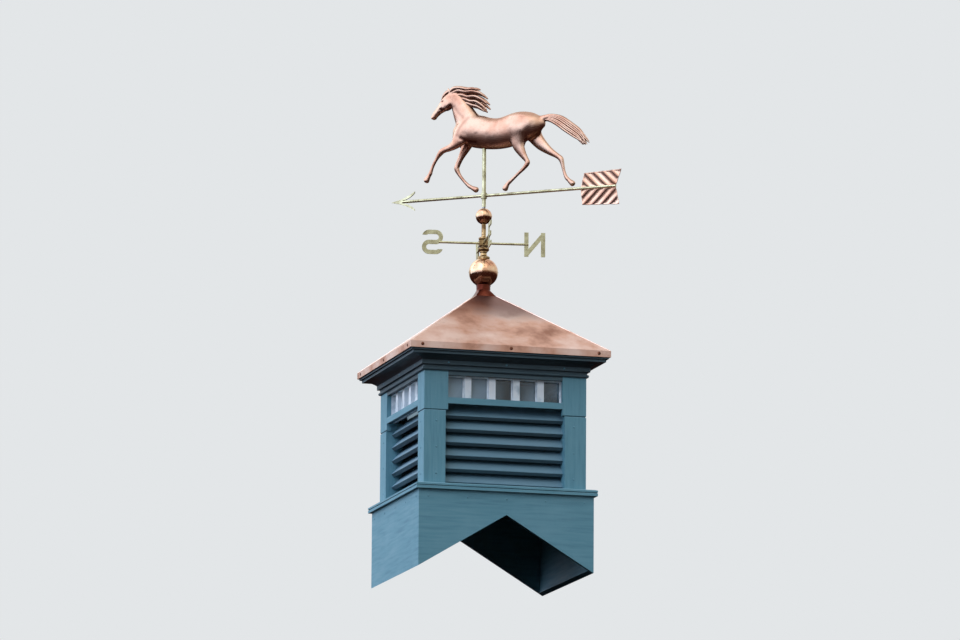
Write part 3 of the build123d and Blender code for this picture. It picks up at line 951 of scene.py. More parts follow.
@dataclass
class Louvres:
    """Slats of square-cut board that slope outward and down, let into a stile at each end."""

    opening: float = 0.260
    face: float = 0.335
    bottom: float = 0.3519
    top: float = 0.6999
    stile: float = 0.019
    stile_depth: float = 0.055
    count: int = 6
    pitch: float = 0.0564
    board: float = 0.019
    width: float = 0.092
    slope: float = math.radians(45.0)
    set_back: float = 0.005
    nose_rise: float = 0.014
    ease: float = 0.0015

    def build(self) -> None:
        """Stacks the slats and stands the stiles on each side."""
        slat = self.slat()
        lowest = (0.0, self.set_back - self.face, self.bottom + self.nose_rise)
        for side in Side:
            stack = SLATS.grow(
                f"slats_{side.word}", SHADED_SLAT_PAINT, Slat=slat, Lowest=lowest,
                Count=self.count, Pitch=self.pitch, Turn=side.angle,
            )
            place(stack, "cupola", "painted_wood", f"louvre_{side.word}")
            place(self.stiles(side), "cupola", "painted_wood")
        bpy.data.objects.remove(slat)

    def slat(self) -> Piece:
        """Saws one slat, its upper outer edge on the X axis.

        Returns:
            The slat, which stands in no body.
        """
        along = np.array([math.cos(self.slope), math.sin(self.slope)])
        out = np.array([-math.sin(self.slope), math.cos(self.slope)])
        nose, heel = np.zeros(2), -self.board * out
        outline = [
            nose + self.ease * along, nose - self.ease * out,
            heel + self.ease * out, heel + self.ease * along,
            heel + self.width * along, nose + self.width * along,
        ]
        half = self.opening + self.ease
        verts = [(x, y, z) for x in (-half, half) for y, z in outline]
        n = len(outline)
        faces = [tuple(range(n)), tuple(range(n, 2 * n))]
        faces += [(k, (k + 1) % n, n + (k + 1) % n, n + k) for k in range(n)]
        return mesh_object("slat_pattern", verts, faces, SHADED_SLAT_PAINT, smooth=False)

    def stiles(self, side: Side) -> Piece:
        """Stands the two stiles of one side.

        Args:
            side: The side.

        Returns:
            The stiles.
        """
        verts, faces = [], []
        front, back = -self.face, self.stile_depth - self.face
        for x0 in (-self.opening - self.stile, self.opening):
            x1, start = x0 + self.stile, len(verts)
            verts += [
                side.turn @ Vector((x, y, z)) for z in (self.bottom, self.top)
                for x, y in ((x0, front), (x1, front), (x1, back), (x0, back))
            ]
            faces += [[start + k for k in face] for face in BOX_FACES]
        host = mesh_object("stile_host", verts, faces, UPRIGHT_PAINT, smooth=False)
        modify(host, "BEVEL", width=self.ease, segments=2)
        return baked(host, f"louvre_stiles_{side.word}")


@dataclass
class Windows:
    """White sashes with upright bars, their glass and the putty that holds it."""

    half: float = 0.250
    bar: float = 0.029
    lights: int = 5
    glass_face: float = 0.313
    low: float = 0.7199
    high: float = 0.8149
    putty_radius: float = 0.0035
    putty_out: float = 0.4

    def build(self) -> None:
        """Dresses sashes and glass, and runs the putty."""
        for side in Side:
            dress_nodes(WHITE_PAINT, f"sash_{side.word}")
            dress_nodes(GLASS, f"glass_{side.word}")
            self.putty(side)

    def putty(self, side: Side) -> None:
        """Runs a bead of putty round each light, where the glass meets the sash.

        Args:
            side: The side.
        """
        light = (2 * self.half - (self.lights - 1) * self.bar) / self.lights
        inset = self.putty_out * self.putty_radius
        y, low, high = -self.glass_face - inset, self.low + inset, self.high - inset
        loops = []
        for k in range(self.lights):
            x0 = -self.half + k * (light + self.bar) + inset
            x1 = x0 + light - 2 * inset
            corners = ((x0, y, low), (x1, y, low), (x1, y, high), (x0, y, high))
            loops.append([tuple(side.turn @ Vector(c)) for c in corners])
        bead = RIMS.grow(
            f"glazing_putty_{side.word}", WHITE_PAINT, path_curve("putty_path", loops, True),
            Radius=self.putty_radius, Sides=8,
        )
        place(bead, "cupola", "white_wood")


@dataclass
class CopperRoof:
    """Copper skin with its rolled hem, folded hips and the screws through its rim."""

    eave_half: float = 0.4375
    z_rim: float = 0.9119
    z_eave: float = 0.9389
    z_top: float = 1.2189
    top_half: float = 0.045
    hem_radius: float = 0.0022
    hem_drop: float = 0.0004
    seam_radius: float = 0.0024
    screw_reach: float = 0.385
    screw_rise: float = 0.001
    screw_sunk: float = 0.0002
    screw_lean: float = 0.02

    def build(self) -> None:
        """Dresses the copper, rolls the hem, folds the hips and drives the rim screws."""
        dress_nodes(ROOF_COPPER, "copper_roof")
        self.hem()
        self.hips()
        self.screws()

    def hem(self) -> None:
        """Rolls the rim's lower edge into a round hem."""
        reach = self.eave_half - self.hem_radius
        z = self.z_rim + self.hem_radius - self.hem_drop
        corners = [(x * reach, y * reach, z) for x, y in CORNERS]
        hem = RIMS.grow(
            "roof_hem", ROOF_COPPER, path_curve("hem_path", [corners], True),
            Radius=self.hem_radius, Sides=12,
        )
        place(hem, "cupola", "copper")

    def hips(self) -> None:
        """Folds the seam along each hip."""
        low, high = self.eave_half - self.seam_radius, self.top_half
        runs = [
            [(x * low, y * low, self.z_eave), (x * high, y * high, self.z_top)]
            for x, y in CORNERS
        ]
        seams = RIMS.grow(
            "hip_seams", HIP_HIGHLIGHT_COPPER, path_curve("hip_path", runs, False),
            Radius=self.seam_radius, Sides=12,
        )
        place(seams, "cupola", "copper")

    def screws(self) -> None:
        """Drives three washered screws through each side of the rim."""
        profile = [
            (0.0, 0.0), (0.0072, 0.0), (0.0074, -0.0004), (0.0066, -0.0007), (0.0048, -0.0007),
            (0.0046, -0.0013), (0.0036, -0.0018), (0.0018, -0.0020), (0.0016, -0.0013),
            (0.0, -0.0013),
        ]
        pattern = turned_pattern("screw_pattern", profile, SCREW_METAL)
        z = (self.z_rim + self.z_eave) / 2 + self.screw_rise
        face = -self.eave_half + self.screw_sunk
        row = FASTENERS.grow(
            "rim_screws", SCREW_METAL, Fastener=pattern, Count=3, Wobble=self.screw_lean,
            Start=(-self.screw_reach, face, z), End=(self.screw_reach, face, z),
        )
        place(row, "cupola", "copper")
        bpy.data.objects.remove(pattern)


@dataclass
class Finial:
    """Neck, globes, turned hub and rod above the roof."""

    def build(self) -> None:
        """Dresses the finial's nodes."""
        dress_nodes(DARK_NECK_COPPER, "neck")
        dress_nodes(SPUN_COPPER, "large_globe", "small_globe")
        dress_nodes(TURNED_BRASS, "compass_hub")
        dress_nodes(ROD_STEEL, "spindle")


@dataclass
class Compass:
    """Four brass arms with cut-out letters."""

    def build(self) -> None:
        """Dresses the arms."""
        dress_nodes(BARE_BRASS, *(f"arm_{way}" for way in ("north", "east", "south", "west")))


@dataclass
class VaneFrame:
    """The turning frame's own coordinates: along to the tail, aside, and up from the arrow."""

    yaw: float = math.radians(-39.0)
    height: float = 1.6614

    def lay(self, points: np.ndarray) -> np.ndarray:
        """Puts points of the vane in the row's frame.

        Args:
            points: Rows of along, aside and up, in millimetres.

        Returns:
            Rows of x, y and z in metres.
        """
        c, s = math.cos(self.yaw), math.sin(self.yaw)
        x, y, z = (np.asarray(points, float) * MM).T
        return np.stack([x * c - y * s, x * s + y * c, z + self.height], 1)

    def flatten(self, points: np.ndarray) -> np.ndarray:
        """Finds where points lie in the plane of the vane.

        Args:
            points: Rows of x, y and z in metres.

        Returns:
            Rows of along and up, in millimetres.
        """
        x, y, z = points.T
        along = x * math.cos(self.yaw) + y * math.sin(self.yaw)
        return np.stack([along / MM, (z - self.height) / MM], 1)


VANE = VaneFrame()
Stations = Sequence[tuple[float, ...]]


def read_rows(items: bpy.types.bpy_prop_collection, key: str) -> np.ndarray:
    """Reads a vector of each item.

    Args:
        items: A mesh's points or normals.
        key: The vector's name.

    Returns:
        Rows of x, y and z.
    """
    flat = np.zeros(len(items) * 3, np.float32)
    items.foreach_get(key, flat)
    return flat.reshape(-1, 3).astype(float)


def smoothed(stations: Stations, per_span: int) -> np.ndarray:
    """Runs a smooth curve through stations.

    Args:
        stations: Rows of numbers.
        per_span: Steps between two stations.

    Returns:
        The rows of the smooth curve.
    """
    p = np.array(stations, float)
    ends = np.vstack([2 * p[0] - p[1], p, 2 * p[-1] - p[-2]])
    rows = []
    for i in range(len(p) - 1):
        a, b, c, d = ends[i:i + 4]
        square, cube = 2 * a - 5 * b + 4 * c - d, 3 * b - a - 3 * c + d
        for k in range(per_span):
            t = k / per_span
            rows.append(0.5 * (2 * b + (c - a) * t + square * t**2 + cube * t**3))
    rows.append(p[-1])
    return np.array(rows)


class Tubes:
    """Collects closed tubes of oval section in the vane's coordinates."""

    thinnest = 0.3
    caps = (0.45, 0.8, 0.96)

    def __init__(self) -> None:
        """Starts with nothing."""
        self.verts: list[np.ndarray] = []
        self.faces: list[tuple[int, ...]] = []
        self.deep: list[np.ndarray] = []
        self.count = 0

    def add(
        self,
        stations: Stations,
        around: int = 20,
        per_span: int = 5,
        shape: Callable[[np.ndarray], np.ndarray] | None = None,
    ) -> None:
        """Adds one tube.

        Args:
            stations: Rows of along, aside, up, half depth in the plane and half width across it.
            around: Points round each ring.
            per_span: Rings between two stations.
            shape: A factor on the ring's radius by angle, for grooves.
        """
        rows = smoothed(stations, per_span)
        centre = rows[:, :3]
        depth, width = np.maximum(rows[:, 3:5], self.thinnest).T
        tangent = np.gradient(centre, axis=0)
        tangent /= np.linalg.norm(tangent, axis=1)[:, None]
        across = np.array([0.0, 1.0, 0.0]) - tangent * tangent[:, 1:2]
        across /= np.linalg.norm(across, axis=1)[:, None]
        up = np.cross(tangent, across)
        angle = np.linspace(0, 2 * math.pi, around, endpoint=False)
        factor = np.ones_like(angle) if shape is None else shape(angle)
        lead = [(0, -math.sqrt(1 - c * c), c) for c in self.caps]
        tail = [(len(rows) - 1, math.sqrt(1 - c * c), c) for c in reversed(self.caps)]
        # The bottoms of the grooves are hollows, which tarnish, and the lower side gets painted
        # shade.
        lower = np.clip((-np.cos(angle) - 0.35) / 0.65, 0.0, 1.0)
        deep = np.clip(lower + np.clip((1.0 - factor) * 6.0, 0.0, 1.0), 0.0, 1.0)
        start = last = self.count
        for i, push, shrink in lead + [(i, 0.0, 1.0) for i in range(len(rows))] + tail:
            middle = centre[i] + tangent[i] * (push * min(depth[i], width[i]))
            self.verts.append(middle + shrink * (
                np.outer(np.cos(angle) * factor * depth[i], up[i])
                + np.outer(np.sin(angle) * factor * width[i], across[i])
            ))
            self.deep.append(deep)
            last, self.count = self.count, self.count + around
        for ring in range(start, last, around):
            for k in range(around):
                a, b = ring + k, ring + (k + 1) % around
                self.faces.append((a, b, b + around, a + around))
        self.faces.append(tuple(start + k for k in reversed(range(around))))
        self.faces.append(tuple(last + k for k in range(around)))

    def piece(self, name: str, finish: Finish) -> Piece:
        """Makes one object of all the tubes.

        Args:
            name: The object's name.
            finish: Its finish.

        Returns:
            The object in the row's frame, with its hollows and the painted shade on its lower
            sides marked.
        """
        made = mesh_object(name, VANE.lay(np.vstack(self.verts)), self.faces, finish)
        # The marks fit only where no points were merged.
        if len(made.data.vertices) == self.count:
            mark_hollows(made.data, np.concatenate(self.deep))
        return made


def mark_hollows(mesh: bpy.types.Mesh, depth: np.ndarray) -> None:
    """Stores how far the finish darkens each point, from 0 to 1: hollows, and painted shade on
    tubes.
    """
    kept = mesh.attributes.new(HOLLOW_AND_SHADE, "FLOAT", "POINT")
    kept.data.foreach_set("value", depth.astype(np.float32))


@dataclass(frozen=True)
class Crease:
    """A line pressed into the horse's skin, or raised on it where its depth is negative."""

    line: Sequence[tuple[float, float]]
    depth: float
    width: float


@dataclass
class Horse:
    """The running horse: a stamped body with drawn muscles, and mane and tail in locks."""

    voxel: float = 0.0026
    smooth_steps: int = 4
    flow_steps: int = 85
    pull: float = 0.5
    shares: int = 10
    deepest: float = 3.0

    def build(self) -> None:
        """Makes the body, the mane and the tail."""
        place(self.body(), "vane", "copper", "horse")
        place(self.mane(), "vane", "copper")
        place(self.tail(), "vane", "copper")

    def limbs(self) -> list[Stations]:
        """The body's limbs and muscles.

        Returns:
            Stations of each: along, aside, up, half depth and half width in millimetres.
        """
        trunk = [
            (-128, 0, 262, 26, 17), (-112, 0, 276, 46, 31), (-78, 0, 287, 64, 42),
            (-30, 0, 283, 72, 46), (20, 0, 271, 69, 47), (70, 0, 267, 68, 46),
            (115, 0, 274, 70, 45), (160, 0, 288, 68, 46), (210, 0, 293, 60, 44),
            (248, 0, 296, 44, 31), (268, 0, 298, 24, 16),
        ]
        neck = [
            (-60, 0, 304, 60, 38), (-84, 0, 343, 54, 32), (-104, 0, 382, 46, 26),
            (-122, 0, 419, 37, 22), (-140, 0, 448, 28, 18),
        ]
        head = [
            (-138, 0, 452, 18, 14), (-156, 0, 438, 29, 17.5), (-176, 0, 418, 31, 19),
            (-195, 0, 402, 23.5, 17), (-213, 0, 387, 16.5, 14), (-228, 0, 372, 14.5, 12.5),
            (-236, 0, 361, 13.5, 12),
        ]
        cheek = [(-160, -12, 424, 21, 8), (-172, -13, 409, 20, 9), (-185, -12, 397, 14, 7)]
        nostril = [(-237, -8, 363, 5.5, 4.5), (-242, -8, 355, 5.5, 4.5)]
        brow = [(-186, -13, 431, 6.5, 4.5), (-196, -13, 422, 6, 4.5)]
        ear = [(-156, -9, 456, 7.5, 5), (-162, -11, 469, 7, 4.5), (-167, -12, 482, 2.4, 1.8)]
        shoulder = [
            (-56, -24, 334, 26, 12), (-86, -29, 292, 34, 15), (-112, -27, 254, 27, 14),
            (-122, -24, 234, 18, 11),
        ]
        haunch = [
            (205, -24, 312, 40, 18), (172, -29, 276, 44, 20), (158, -25, 236, 32, 15),
            (160, -20, 208, 20, 10),
        ]
        fore_reaching = [
            (-84, -24, 264, 34, 18), (-118, -25, 234, 24, 15), (-150, -25, 216, 15.5, 11.5),
            (-176, -25, 208, 12.5, 10), (-191, -25, 199, 12.5, 10.5), (-210, -25, 174, 8, 7),
            (-227, -25, 144, 6.8, 6.2), (-236, -25, 122, 7.6, 6.8), (-240, -25, 110, 8.8, 7.8),
            (-247, -25, 99, 8, 7.2),
        ]
        hoof_a = [(-247, -25, 99, 9, 8), (-255, -25, 86, 12, 10.5), (-258, -25, 80, 13, 11)]
        fore_folded = [
            (-82, 24, 250, 30, 18), (-100, 24, 214, 20, 14), (-119, 24, 180, 13.5, 11),
            (-134, 24, 148, 11.5, 10), (-138, 24, 132, 12, 10), (-126, 24, 106, 8, 7),
            (-105, 24, 78, 6.8, 6.2), (-86, 24, 58, 7.6, 6.8), (-76, 24, 50, 8.8, 7.8),
            (-66, 24, 44, 8, 7.2),
        ]
        hoof_b = [(-66, 24, 44, 9, 8), (-52, 24, 37, 12, 10.5), (-46, 24, 34, 13, 11)]
        hind_folded = [
            (186, -24, 290, 46, 18), (168, -24, 246, 38, 19), (168, -23, 206, 28, 15),
            (186, -23, 168, 18, 11.5), (206, -23, 138, 11, 8.5), (211, -23, 124, 11, 9),
            (196, -23, 104, 8.5, 7.8), (168, -23, 80, 7, 6.5), (142, -23, 58, 7.5, 6.8),
            (127, -23, 46, 8.8, 7.8), (119, -23, 38, 8, 7.2),
        ]
        hoof_c = [(119, -23, 38, 9, 8), (111, -23, 25, 12, 10.5), (108, -23, 19, 13, 11)]
        hind_reaching = [
            (205, 24, 280, 46, 18), (228, 24, 244, 34, 17), (258, 23, 208, 26, 14),
            (294, 23, 178, 17, 11), (330, 23, 154, 11.5, 9), (346, 23, 140, 12, 9.5),
            (353, 23, 119, 9, 8), (360, 23, 88, 7, 6.5), (369, 23, 62, 7.8, 7),
            (377, 23, 51, 8.8, 7.8), (386, 23, 42, 8, 7.2),
        ]
        hoof_d = [(385, 23, 43, 9, 8), (396, 23, 33, 12, 10.5), (401, 23, 29, 13, 11)]
        tail_root = [(240, 0, 308, 22, 15), (268, 0, 318, 15, 12), (296, 0, 321, 13, 10)]
        paired = [cheek, nostril, brow, ear, shoulder, haunch]
        mirrored = [[(x, -y, z, a, b) for x, y, z, a, b in limb] for limb in paired]
        single = [
            trunk, neck, head, tail_root, fore_reaching, fore_folded, hind_folded, hind_reaching,
            hoof_a, hoof_b, hoof_c, hoof_d,
        ]
        return single + paired + mirrored

    def creases(self) -> list[Crease]:
        """The lines that the die pressed: shoulder, ribs, flank, haunch, neck, jaw and eye.

        Returns:
            The creases, in the vane's plane.
        """
        return [
            Crease([(-62, 340), (-100, 296), (-112, 264)], 1.4, 13),
            Crease([(-92, 250), (-62, 236), (-28, 230)], 2.4, 9),
            Crease([(134, 312), (130, 280), (140, 248), (154, 226)], 0.8, 14),
            Crease([(236, 296), (218, 262), (200, 234)], 0.9, 13),
            Crease([(-132, 392), (-112, 366), (-88, 344)], 1.4, 10),
            Crease([(-156, 404), (-168, 388), (-186, 382), (-202, 390)], 2.0, 5),
            Crease([(-200, 420), (-216, 402), (-228, 386)], 1.1, 5),
            Crease([(-240, 350), (-228, 355), (-219, 362)], 1.8, 2.8),
            Crease([(-196, 426), (-190, 423)], 2.6, 3.6),
            Crease([(-20, 262), (-14, 228)], 0.7, 9),
            Crease([(30, 258), (38, 222)], 0.7, 9),
        ]

    def body(self) -> Piece:
        """Fuses the limbs into one skin, relaxes it and presses the creases.

        Returns:
            The horse's body.
        """
        tubes = Tubes()
        for limb in self.limbs():
            tubes.add(limb, around=24)
        rough = tubes.piece("horse_rough", STAMPED_COPPER)
        modify(rough, "REMESH", mode="VOXEL", voxel_size=self.voxel, use_smooth_shade=True)
        modify(rough, "SMOOTH", factor=self.pull, iterations=self.smooth_steps)
        fused = baked(rough, "horse_fused")
        self.favour_barrel(fused)
        modify(
            fused, "SMOOTH", factor=self.pull, iterations=self.flow_steps, vertex_group="barrel",
        )
        skin = baked(fused, "horse_body")
        coat(skin, STAMPED_COPPER)
        self.press(skin.data)
        return skin

    def favour_barrel(self, skin: Piece) -> None:
        """Marks where the muscles flow together: barrel, neck and quarters, not legs or face.

        Args:
            skin: The fused horse, which gets a vertex group.
        """
        along, up = VANE.flatten(read_rows(skin.data.vertices, "co")).T
        # The flow sets in over 50 mm above the belly, 35 mm behind the face, 30 mm at the dock.
        share = np.clip((up - 205) / 50, 0, 1)
        share = share * np.clip((along + 165) / 35, 0, 1) * np.clip((290 - along) / 30, 0, 1)
        steps = np.round(share * self.shares).astype(int)
        group = skin.vertex_groups.new(name="barrel")
        for step in range(1, self.shares + 1):
            group.add(np.flatnonzero(steps == step).tolist(), step / self.shares, "REPLACE")

    def press(self, mesh: bpy.types.Mesh) -> None:
        """Moves the skin's points along their normals by the creases.

        Args:
            mesh: The horse's skin, which is changed.
        """
        co = read_rows(mesh.vertices, "co")
        normal = read_rows(mesh.vertex_normals, "vector")
        aside = -normal[:, 0] * math.sin(VANE.yaw) + normal[:, 1] * math.cos(VANE.yaw)
        facing = np.clip(np.abs(aside) * 1.6 - 0.25, 0, 1)
        flat = VANE.flatten(co)
        move = np.zeros(len(co))
        for crease in self.creases():
            line = np.array(crease.line, float)
            best = np.full(len(co), 1e9)
            for a, b in zip(line[:-1], line[1:]):
                d = b - a
                t = np.clip(((flat - a) @ d) / max(d @ d, 1e-9), 0, 1)
                best = np.minimum(best, np.linalg.norm(flat - a - t[:, None] * d, axis=1))
            move += crease.depth * np.exp(-((best / crease.width) ** 2)) * facing
        co -= normal * (move * MM)[:, None]
        mark_hollows(mesh, np.clip(move / self.deepest, 0.0, 1.0))
        mesh.vertices.foreach_set("co", co.astype(np.float32).ravel())
        mesh.update()

    @staticmethod
    def groove(angle: np.ndarray) -> np.ndarray:
        """Gives a lock's section five shallow grooves: a factor on its radius by angle."""
        return 1.0 + 0.07 * np.cos(5 * angle)

    def mane(self) -> Piece:
        """Lays the mane in streaming locks, one row on each side of the neck.

        Returns:
            The mane.
        """
        paths = [
            [(-160, 462), (-142, 477), (-112, 478), (-80, 470), (-52, 470), (-33, 466)],
            [(-150, 458), (-120, 466), (-88, 458), (-54, 457), (-20, 446), (4, 429)],
            [(-138, 444), (-106, 447), (-76, 437), (-42, 436), (-10, 421), (14, 402)],
            [(-124, 426), (-94, 429), (-64, 418), (-36, 414), (-10, 399), (15, 377)],
            [(-108, 404), (-80, 407), (-54, 397), (-32, 390), (-14, 379), (2, 366)],
        ]
        sections = ((9.5, 6.5), (10.0, 8.5), (9.0, 8.5), (8.5, 7.5), (7.0, 6.0), (3.2, 3.0))
        tubes = Tubes()
        for layer, aside in enumerate((-7.0, 7.0)):
            for k, path in enumerate(paths):
                sway = 2.0 * math.sin(1.7 * k + 2.1 * layer)
                tubes.add([
                    (x + layer * 5.0, aside * (1.0 + 0.15 * j) + sway * j * 0.3,
                     z + sway * j * 0.4, a, b)
                    for j, ((x, z), (a, b)) in enumerate(zip(path, sections))
                ], around=22, per_span=6, shape=self.groove)
        forelock = [
            (-154, -4, 466, 7, 6), (-172, -6, 466, 8, 6), (-188, -7, 452, 6, 5),
            (-198, -7, 436, 2, 2),
        ]
        for lock in (forelock, [(x, -y, z + 2, a, b) for x, y, z, a, b in forelock]):
            tubes.add(lock, around=18, per_span=6, shape=self.groove)
        return tubes.piece("horse_mane", STAMPED_COPPER)

    def tail(self) -> Piece:
        """Lays the tail in locks that fan from its root and close at its tip.

        Returns:
            The tail.
        """
        # Each station of the fan: along, up, half its spread, and a lock's half depth.
        fan = (
            (258, 314, 5.0, 6.5), (298, 319, 11.0, 6.5), (342, 304, 18.0, 6.0),
            (390, 270, 20.0, 5.5), (438, 233, 17.0, 4.4), (484, 197, 9.0, 1.8),
        )
        tip = len(fan) - 1
        tubes = Tubes()
        rows = 6
        for layer, aside in enumerate((-6.0, 0.0, 6.0)):
            for k in range(rows):
                share = (k / (rows - 1)) * 2 - 1
                wave = math.sin(2.3 * k + 1.3 * layer)
                stations = []
                for j, (x, z, wide, thick) in enumerate(fan):
                    lift = share * wide
                    short = 1.0 if j < tip else 1.0 - 0.05 * abs(wave)
                    stations.append((
                        x * short + lift * 0.62, aside * (0.5 + 0.16 * min(j, 3)),
                        z + lift * 0.79 + wave * 1.2 * (j > 1), thick, thick * 0.72,
                    ))
                tubes.add(stations, around=14, shape=self.groove)
        return tubes.piece("horse_tail", STAMPED_COPPER)


@dataclass
class Vane:
    """Tube, arrow shaft, barbed head and fluted feather."""

    feather_root: float = 447.0
    flute: float = 42.0
    flute_depth: float = 3.2
    crest_power: float = 0.42
    tarnish: float = 0.85
    thick: float = 2.4
    along_steps: int = 84
    up_steps: int = 30

    def build(self) -> None:
        """Dresses the tube, shaft and head, and makes the feather and the horse."""
        dress_nodes(BARE_BRASS, "vane_tube", "arrow_shaft", "arrow_head")
        place(self.feather(), "vane", "copper", "arrow_feather")
        Horse().build()

    def feather(self) -> Piece:
        """Presses diagonal flutes into the feather's two halves.

        Returns:
            The fluted feather.
        """
        verts, depth, faces = [], [], []
        # Each half: its front and rear corners at the shaft, its front and rear corners at
        # the edge, and the way that its flutes lean.
        halves = (
            ((447, 1.5), (608, 1.5), (463, 65), (634, 72), 1.0),
            ((447, -1.5), (608, -1.5), (455, -72), (624, -80), -1.0),
        )
        nu, nv = self.along_steps, self.up_steps
        for *corners, lean in halves:
            start = len(verts)
            for j, i in np.ndindex(nv + 1, nu + 1):
                v, u = j / nv, i / nu
                x, z = (
                    (1 - v) * ((1 - u) * a + u * b) + v * ((1 - u) * c + u * d)
                    for a, b, c, d in zip(*corners)
                )
                phase = (x - self.feather_root + lean * z - self.flute / 2) / self.flute
                crest = (0.5 + 0.5 * math.cos(phase * 2 * math.pi)) ** self.crest_power
                fade = min(1.0, v * 8) * min(1.0, (1 - v) * 12 + 0.2)
                fade *= min(1.0, min(u, 1 - u) * 18 + 0.2)
                verts.append((x, self.flute_depth * (2 * crest - 1) * fade, z))
                depth.append(self.tarnish * (1 - crest))
            for j, i in np.ndindex(nv, nu):
                a = start + j * (nu + 1) + i
                faces.append((a, a + 1, a + nu + 2, a + nu + 1))
        host = mesh_object("feather_host", VANE.lay(np.array(verts)), faces, FLUTED_COPPER)
        mark_hollows(host.data, np.array(depth))
        modify(host, "SOLIDIFY", thickness=self.thick * MM, offset=0.0)
        return baked(host, "fluted_feather")


class LampKind(Enum):
    """Kinds of light, each with its type name and what holds its width.

    A sky patch is far away and as wide as an angle, so it leaves no hot spot on the floor.
    A panel stands at a place and is as wide as a length.
    """

    SKY_PATCH = ("SUN", "angle")
    PANEL = ("AREA", "size")


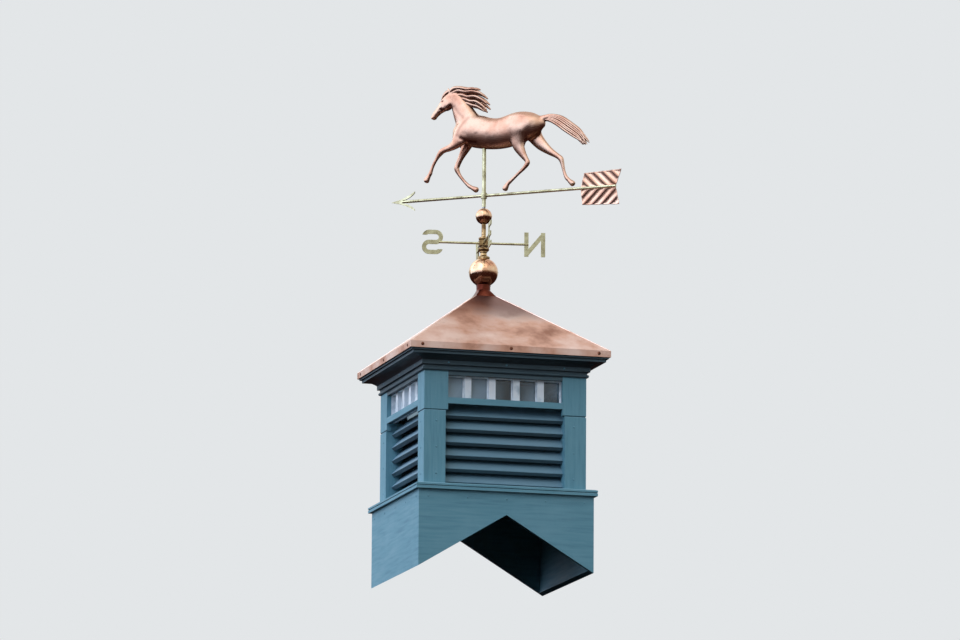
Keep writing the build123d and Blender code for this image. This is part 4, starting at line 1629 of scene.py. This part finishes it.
@dataclass
class Studio:
    """Pale floor, even sky, lamps and the camera at the photograph's angle."""

    lens: float = 243.75
    spot: Point = (-7.4221, -26.2500, -3.7520)
    yaw: float = math.radians(15.76)
    pitch: float = math.radians(10.13)
    roll: float = math.radians(0.39)
    floor_half: float = 80.0
    floor_z: float = -0.0005
    middle: Point = (0.0, 0.0, 1.1)
    background: str = "#e3e6e8"
    held_back: float = 0.12

    def build(self) -> None:
        """Makes the floor, the sky, the lamps and the camera."""
        self.floor()
        self.sky()
        patch = math.radians(110.0)
        self.lamp(LampKind.SKY_PATCH, "left", (-6.2, -0.8, 2.9), patch, 3.8, "#d2dfff")
        self.lamp(LampKind.PANEL, "front", (-0.6, -5.2, 6.9), 5.0, 62.0, "#fffaf2")
        self.lamp(LampKind.PANEL, "back", (-3.5, 5.0, 5.4), 5.0, 60.0, "#ffffff")
        self.camera()
        bpy.context.scene.view_settings.view_transform = "Standard"

    def floor(self) -> None:
        """Lays a pale floor, clear from below, because the camera looks up through it."""
        corners = [(x * self.floor_half, y * self.floor_half, self.floor_z) for x, y in CORNERS]
        mesh = bpy.data.meshes.new("floor")
        mesh.from_pydata(corners, [], [(0, 1, 2, 3)])
        made = bpy.data.materials.new("pale_floor")
        made.use_nodes = True
        tree = made.node_tree
        tree.nodes.clear()
        # The floor is darker to bounced light, which darkens shade underneath, and red-brown in
        # gloss, which paints a dark ground into reflections.
        rays = add_node(tree, "ShaderNodeLightPath")
        bounced = add_node(tree, "ShaderNodeMix", {"data_type": "RGBA"}, {
            SHARE: rays.outputs["Is Diffuse Ray"],
            UNDER: linear("#cfd2d2"), OVER: linear("#54524e"),
        }).outputs[MIXED]
        tone = add_node(tree, "ShaderNodeMix", {"data_type": "RGBA"}, {
            SHARE: rays.outputs["Is Glossy Ray"], UNDER: bounced, OVER: linear("#3a1f1a"),
        }).outputs[MIXED]
        matt = add_node(tree, "ShaderNodeBsdfDiffuse", {}, {"Color": tone})
        clear = add_node(tree, "ShaderNodeBsdfTransparent")
        under = add_node(tree, "ShaderNodeNewGeometry").outputs["Backfacing"]
        both = add_node(tree, "ShaderNodeMixShader", {}, {0: under, 1: matt, 2: clear})
        add_node(tree, "ShaderNodeOutputMaterial", {}, {"Surface": both})
        mesh.materials.append(made)
        stand("floor", mesh)

    def sky(self) -> None:
        """Makes an even sky: pale to the eye and through glass, red-brown low down for gloss."""
        world = bpy.data.worlds.new("studio")
        bpy.context.scene.world = world
        world.use_nodes = True
        tree = world.node_tree
        tree.nodes.clear()
        rays = add_node(tree, "ShaderNodeLightPath")
        seen = add_node(tree, "ShaderNodeMath", {"operation": "MAXIMUM"}, {
            0: rays.outputs["Is Camera Ray"], 1: rays.outputs["Is Transmission Ray"],
        })
        way = add_node(tree, "ShaderNodeTexCoord").outputs["Generated"]
        height = add_node(tree, "ShaderNodeSeparateXYZ", {}, {0: way}).outputs["Z"]
        share = add_node(tree, "ShaderNodeMapRange", {}, {
            "Value": height, "From Min": -0.5, "From Max": 0.5, "To Min": 0.0, "To Max": 1.0,
        })
        mirrored = add_node(tree, "ShaderNodeValToRGB", {"stops": (
            (0.0, "#2c1210"), (0.49, "#521f1a"), (0.57, "#8a7362"), (0.63, self.background),
            (1.0, "#ffffff"),
        )}, {"Fac": share})
        ambient = add_node(tree, "ShaderNodeValToRGB", {"stops": (
            (0.50, "#090a0a"), (0.65, "#22282b"), (0.80, "#a9b6bd"), (1.0, "#ffffff"),
        )}, {"Fac": share})
        cast = add_node(tree, "ShaderNodeMix", {"data_type": "RGBA"}, {
            SHARE: rays.outputs["Is Glossy Ray"], UNDER: ambient, OVER: mirrored,
        }).outputs[MIXED]
        power = add_node(tree, "ShaderNodeMath", {"operation": "MULTIPLY_ADD"}, {
            0: rays.outputs["Is Diffuse Ray"], 1: -self.held_back, 2: 1.0,
        })
        light = add_node(tree, "ShaderNodeBackground", {}, {"Color": cast, "Strength": power})
        shown = add_node(tree, "ShaderNodeBackground", {}, {
            "Color": linear(self.background), "Strength": 1.0,
        })
        both = add_node(tree, "ShaderNodeMixShader", {}, {0: seen, 1: light, 2: shown})
        add_node(tree, "ShaderNodeOutputWorld", {}, {"Surface": both})

    def lamp(
        self, kind: LampKind, name: str, spot: Point, width: float, power: float, colour: str
    ) -> None:
        """Hangs one soft light that faces the cupola's middle.

        Args:
            kind: Its kind.
            name: Its name.
            spot: Its place in metres, or the way to a patch of sky.
            width: Its width, in metres or as an angle.
            power: Its power, in watts or in watts a square metre of a facing surface.
            colour: Its colour.
        """
        sort, held = kind.value
        data = bpy.data.lights.new(name, sort)
        setattr(data, held, width)
        data.energy = power
        data.color = linear(colour)[:3]
        lamp = stand(name, data)
        lamp.location = spot
        aim = Vector(self.middle) - Vector(spot)
        lamp.rotation_euler = aim.to_track_quat("-Z", "Y").to_euler()

    def camera(self) -> None:
        """Sets the camera at the photograph's viewing angle."""
        data = bpy.data.cameras.new("camera")
        data.lens = self.lens
        data.sensor_width = 36.0
        data.clip_start, data.clip_end = 1.0, 200.0
        camera = stand("camera", data)
        level = math.cos(self.pitch)
        ahead = Vector((
            math.sin(self.yaw) * level, math.cos(self.yaw) * level, math.sin(self.pitch),
        ))
        right = Vector((math.cos(self.yaw), -math.sin(self.yaw), 0.0))
        up = right.cross(ahead)
        across = right * math.cos(self.roll) + up * math.sin(self.roll)
        upright = up * math.cos(self.roll) - right * math.sin(self.roll)
        turn = Matrix((across, upright, -ahead)).transposed()
        camera.matrix_world = Matrix.Translation(self.spot) @ turn.to_4x4()
        bpy.context.scene.camera = camera


FASTENERS = FastenerRows()
SLATS = SlatStack()
RIMS = SweptRim()


def main() -> None:
    """Builds the sub-assemblies in order."""
    logging.basicConfig(level=logging.INFO, format="%(name)s: %(message)s")
    for assembly in (
        Studio(), Timberwork(), Louvres(), Windows(), CopperRoof(), Finial(), Compass(), Vane(),
    ):
        assembly.build()


if __name__ == "__main__":
    main()
